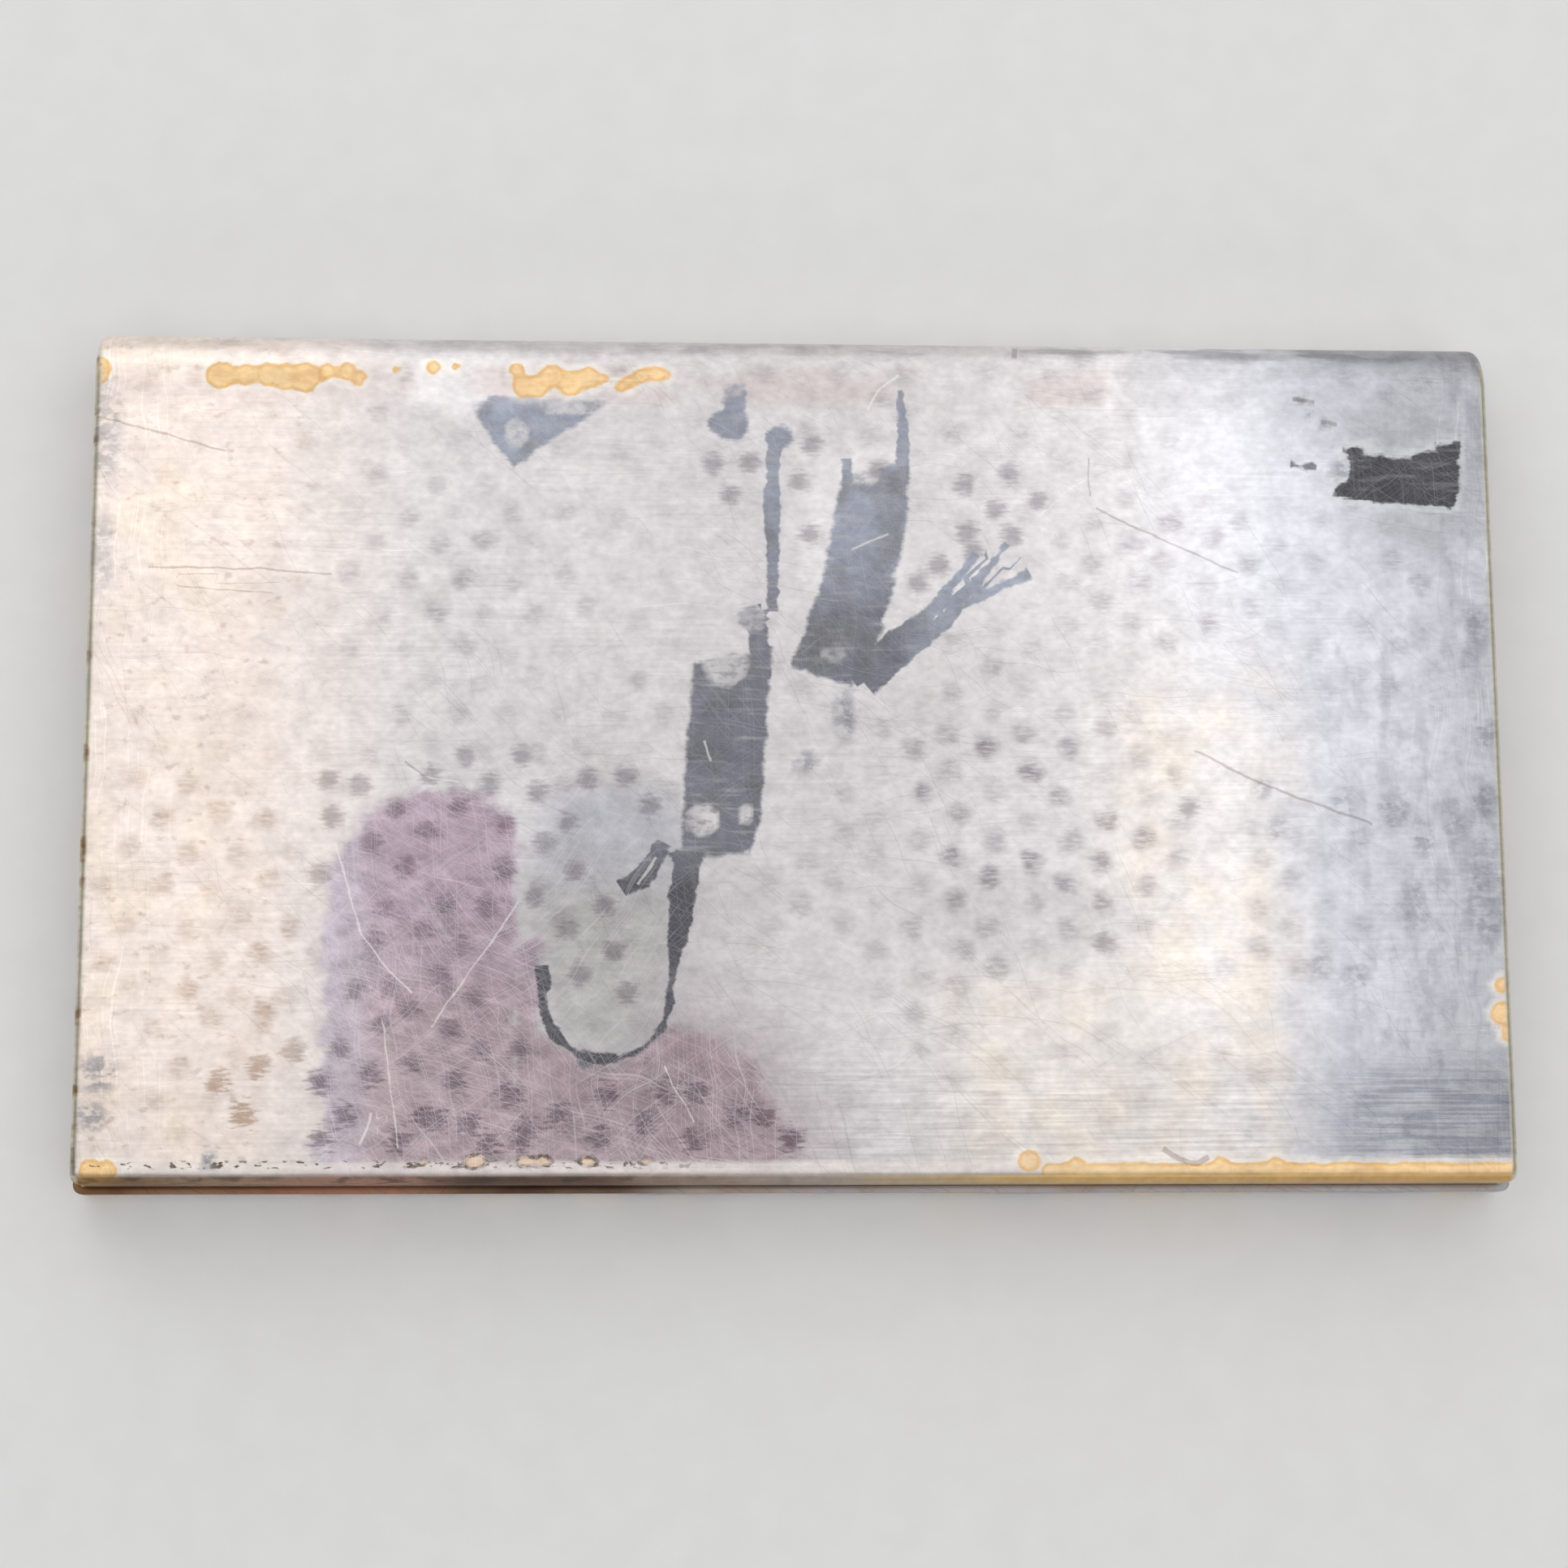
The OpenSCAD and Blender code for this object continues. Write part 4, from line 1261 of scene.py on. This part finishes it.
# %% Wind the springs
COIL_TURNS = 8.0
WIRE_R = 0.17
COIL_R = 0.8
# how far in front of the axle a front leg would start to bend, and where it would move wholly with the
# plate; the wire is not bent by them
BEND_START, BEND_END = 1.2, 5


def spring(side_name, side):
    low, high = edges_of(f"guard_spring_{side_name}")
    guard = next(j for j in frame["joints"] if j["name"] == "guard_pivot")
    axle_y, axle_z = guard["pos_m"][1] / MM, guard["pos_m"][2] / MM
    near, far = (low.x, high.x) if side > 0 else (high.x, low.x)
    near, far = near + side * WIRE_R, far - side * WIRE_R
    recipe = Recipe(f"spring_{side_name}", {
        "Turns": COIL_TURNS,
        "Coil radius": COIL_R * MM,
        "Wire radius": WIRE_R * MM,
        "Coil length": (far - near) * side * MM,
    })
    coil = recipe.node("CurveSpiral", {}, {
        "Resolution": 26, "Rotations": recipe.given("Turns"), "Start Radius": recipe.given("Coil radius"),
        "End Radius": recipe.given("Coil radius"), "Height": recipe.given("Coil length"),
    })
    laid = recipe.node("Transform", {}, {
        "Geometry": coil, "Translation": metres(min(near, far), axle_y, axle_z), "Rotation": ALONG_X,
    })
    top, bottom = axle_z + COIL_R, axle_z - COIL_R
    legs = [
        ((near, axle_y, top), (near, low.y + WIRE_R, guard_top(low.y) + WIRE_R * 1.2)),
        ((far, axle_y, bottom), (far, high.y - WIRE_R, low.z + WIRE_R)),
    ]
    wires = [laid]
    for start, end in legs:
        leg = recipe.node("CurvePrimitiveLine", {}, {"Start": metres(*start), "End": metres(*end)})
        wires.append(recipe.node("ResampleCurve", {}, {"Curve": leg, "Count": 14}))
    joined_wires = recipe.node("JoinGeometry", {}, {0: wires})
    section = recipe.node(
        "CurvePrimitiveCircle", {}, {"Resolution": 10, "Radius": recipe.given("Wire radius")}
    )
    swept = recipe.node(
        "CurveToMesh", {}, {"Curve": joined_wires, "Profile Curve": section, "Fill Caps": True}
    )
    obj = recipe.make(f"guard_spring_{side_name}_wire", swept, blue_steel)
    start = metres(0, axle_y - BEND_START, axle_z)
    end = metres(0, axle_y - BEND_END, axle_z)
    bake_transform(obj)
    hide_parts(f"guard_spring_{side_name}")
    return obj


# depths in y: the plate's back edge, its front end with the curled lip, and the flat part of that end
BACK_BAND, LIP_BAND, FLAT_BAND = 0.3, 4, 1.9


def guard_top(y):
    """Height of the guard plate's upper face at y, from its designed corners."""
    verts = [v.co / MM for v in frame["nodes"]["guard_plate"].data.vertices]
    back = max(v.y for v in verts)
    back_z = max(v.z for v in verts if v.y > back - BACK_BAND)
    front_y = min(v.y for v in verts) + LIP_BAND
    front_z = max(v.z for v in verts if front_y - FLAT_BAND < v.y < front_y)
    return back_z + (front_z - back_z) * (back - y) / (back - front_y)


for side_name, side in (("left", -1), ("right", 1)):
    wire = spring(side_name, side)
    print(wire.name, len(wire.data.polygons), "faces")

# %% [markdown]
# ## Pins and rivets
# The pins are turned from drawn wire with a small dome on each end, so they are drawn as half an outline
# and spun. The rivets are spun too: a low domed head, with the leaf spring under it.

# %% Turn the pins
PIN_SIDES = 40


def turned(name, outline, centre_y, centre_z, node):
    """Spins (x, radius) points about a line along X. The outline starts and ends on the line."""
    bm = bmesh.new()
    rings = []
    for x, r in outline:
        if r == 0:
            rings.append([bm.verts.new(Vector((x, centre_y, centre_z)) * MM)])
            continue
        ring = arc((centre_y, centre_z), r, 0, 360, PIN_SIDES)[:-1]
        rings.append([bm.verts.new(Vector((x, y, z)) * MM) for y, z in ring])
    for a, b in zip(rings, rings[1:]):
        for i in range(PIN_SIDES):
            corners = [a[i % len(a)], a[(i + 1) % len(a)], b[(i + 1) % len(b)], b[i % len(b)]]
            bm.faces.new(list(dict.fromkeys(corners)))
    bmesh.ops.recalc_face_normals(bm, faces=bm.faces)
    mesh = bpy.data.meshes.new(name)
    bm.to_mesh(mesh)
    bm.free()
    mesh.materials.append(pin_steel)
    return register(finish_mesh(add_object(name, mesh), 45), "base", "steel_pins", node)


def pin_outline(half, r, dome):
    end = []
    for degrees in (0, 25, 45, 65, 80):
        a = math.radians(degrees)
        end.append((half - dome + dome * math.sin(a), r * math.cos(a)))
    return [(-half, 0)] + [(-x, y) for x, y in reversed(end)] + end + [(half, 0)]


# how far each pin stands out at its ends, and how high its domes are
HINGE_PROUD, HINGE_DOME = 0.12, 0.16
GUARD_PROUD, GUARD_DOME = 0.15, 0.15
guard_low, guard_high = edges_of("guard_pin")
guard_middle = (guard_low + guard_high) / 2
guard_pin_r = (guard_high.z - guard_low.z) / 2
hinge_outline = pin_outline(hinge_half + HINGE_PROUD, pin_r, HINGE_DOME)
guard_outline = pin_outline(guard_high.x + GUARD_PROUD, guard_pin_r, GUARD_DOME)
turned("hinge_pin_turned", hinge_outline, hinge_y, part_z, "hinge_pin")
turned("guard_pin_turned", guard_outline, guard_middle.y, guard_middle.z, "guard_pin")

# %% Set the rivets
HEAD_H = 0.26
HEAD_GAP = 0.02
rivet_low, rivet_high = edges_of("catch_rivets")
rivet_z = (rivet_low.z + rivet_high.z) / 2
head_r = (rivet_high.z - rivet_low.z) / 2
rivet_x = rivet_high.x - head_r


def rivets():
    recipe = Recipe("rivets", {
        "Head radius": head_r * MM,
        "Head height": HEAD_H * MM,
        "Spacing": 2 * rivet_x * MM,
    })
    head_radius = recipe.given("Head radius")
    ball = recipe.node("MeshUVSphere", {}, {"Segments": 28, "Rings": 16, "Radius": head_radius})
    share = recipe.sum("DIVIDE", recipe.given("Head height"), head_radius)
    flat = recipe.node("ShaderNodeCombineXYZ", {}, {"X": 1.0, "Y": 1.0, "Z": share})
    start = metres(-rivet_x, rivet_high.y - HEAD_H - HEAD_GAP, rivet_z)
    offset = recipe.node("ShaderNodeCombineXYZ", {}, {"X": recipe.given("Spacing")})
    line = {"Count": 2, "Start Location": start, "Offset": offset}
    row = recipe.node("MeshLine", {"mode": "OFFSET"}, line)
    turn = (-math.pi / 2, 0, 0)
    placed = recipe.node(
        "InstanceOnPoints", {}, {"Points": row, "Instance": ball, "Rotation": turn, "Scale": flat}
    )
    return recipe.make("catch_rivet_heads", placed, brass_rivet)


register(rivets(), "base", "brass_rivets", "catch_rivets")
print("rivets at x", [-round(rivet_x, 2), round(rivet_x, 2)])

# %% [markdown]
# ## Light and floor
# Silver shows what it reflects, so the light is one broad soft panel where the lid's mirror direction
# points, and a soft room around it. Two narrow panels give the round spine and the front roll their
# highlights.

# %% Set the floor and the lights
# in metres
FLOOR_SIZE = 3.0


def add_floor():
    mesh = bpy.data.meshes.new("floor")
    half = FLOOR_SIZE / 2
    corners = [(-half, -half, 0), (half, -half, 0), (half, half, 0), (-half, half, 0)]
    mesh.from_pydata(corners, [], [(0, 1, 2, 3)])
    finish = Finish("floor_paper", metallic=0.0, roughness=0.85)
    mottle = finish.grain((3, 3, 3), 3.0, 90.0)
    mesh.materials.append(finish.wear(finish.mix(srgb(232, 231, 229), srgb(240, 239, 238), mottle)))
    add_object("floor", mesh)


def add_panel(name, place, size, power):
    light = bpy.data.lights.new(name, "AREA")
    light.shape = "RECTANGLE"
    light.size, light.size_y = metres(*size)
    light.energy = power
    obj = bpy.data.objects.new(name, light)
    obj.location = metres(*place)
    obj.rotation_euler = (-obj.location).to_track_quat("-Z", "Y").to_euler()
    bpy.context.scene.collection.objects.link(obj)


# name, place and size in millimetres, and power in watts
PANELS = [
    ("main_softbox", (30, 85, 450), (1000, 900), 2.8),
    ("back_panel", (-180, 520, 190), (900, 360), 1.1),
    ("front_fill", (60, -480, 200), (700, 240), 0.5),
]
ROOM_COLOUR, ROOM_STRENGTH = (0.80, 0.82, 0.86, 1), 0.2

add_floor()
for panel in PANELS:
    add_panel(*panel)

room = bpy.data.worlds.new("room")
room.use_nodes = True
room.node_tree.nodes["Background"].inputs["Color"].default_value = ROOM_COLOUR
room.node_tree.nodes["Background"].inputs["Strength"].default_value = ROOM_STRENGTH
bpy.context.scene.world = room
bpy.context.scene.view_settings.view_transform = "Standard"

# %% [markdown]
# Last, the size of the designed parts is printed.

# %% Print the designed size
print("designed", [[round(v / MM, 2) for v in corner] for corner in cad_box])
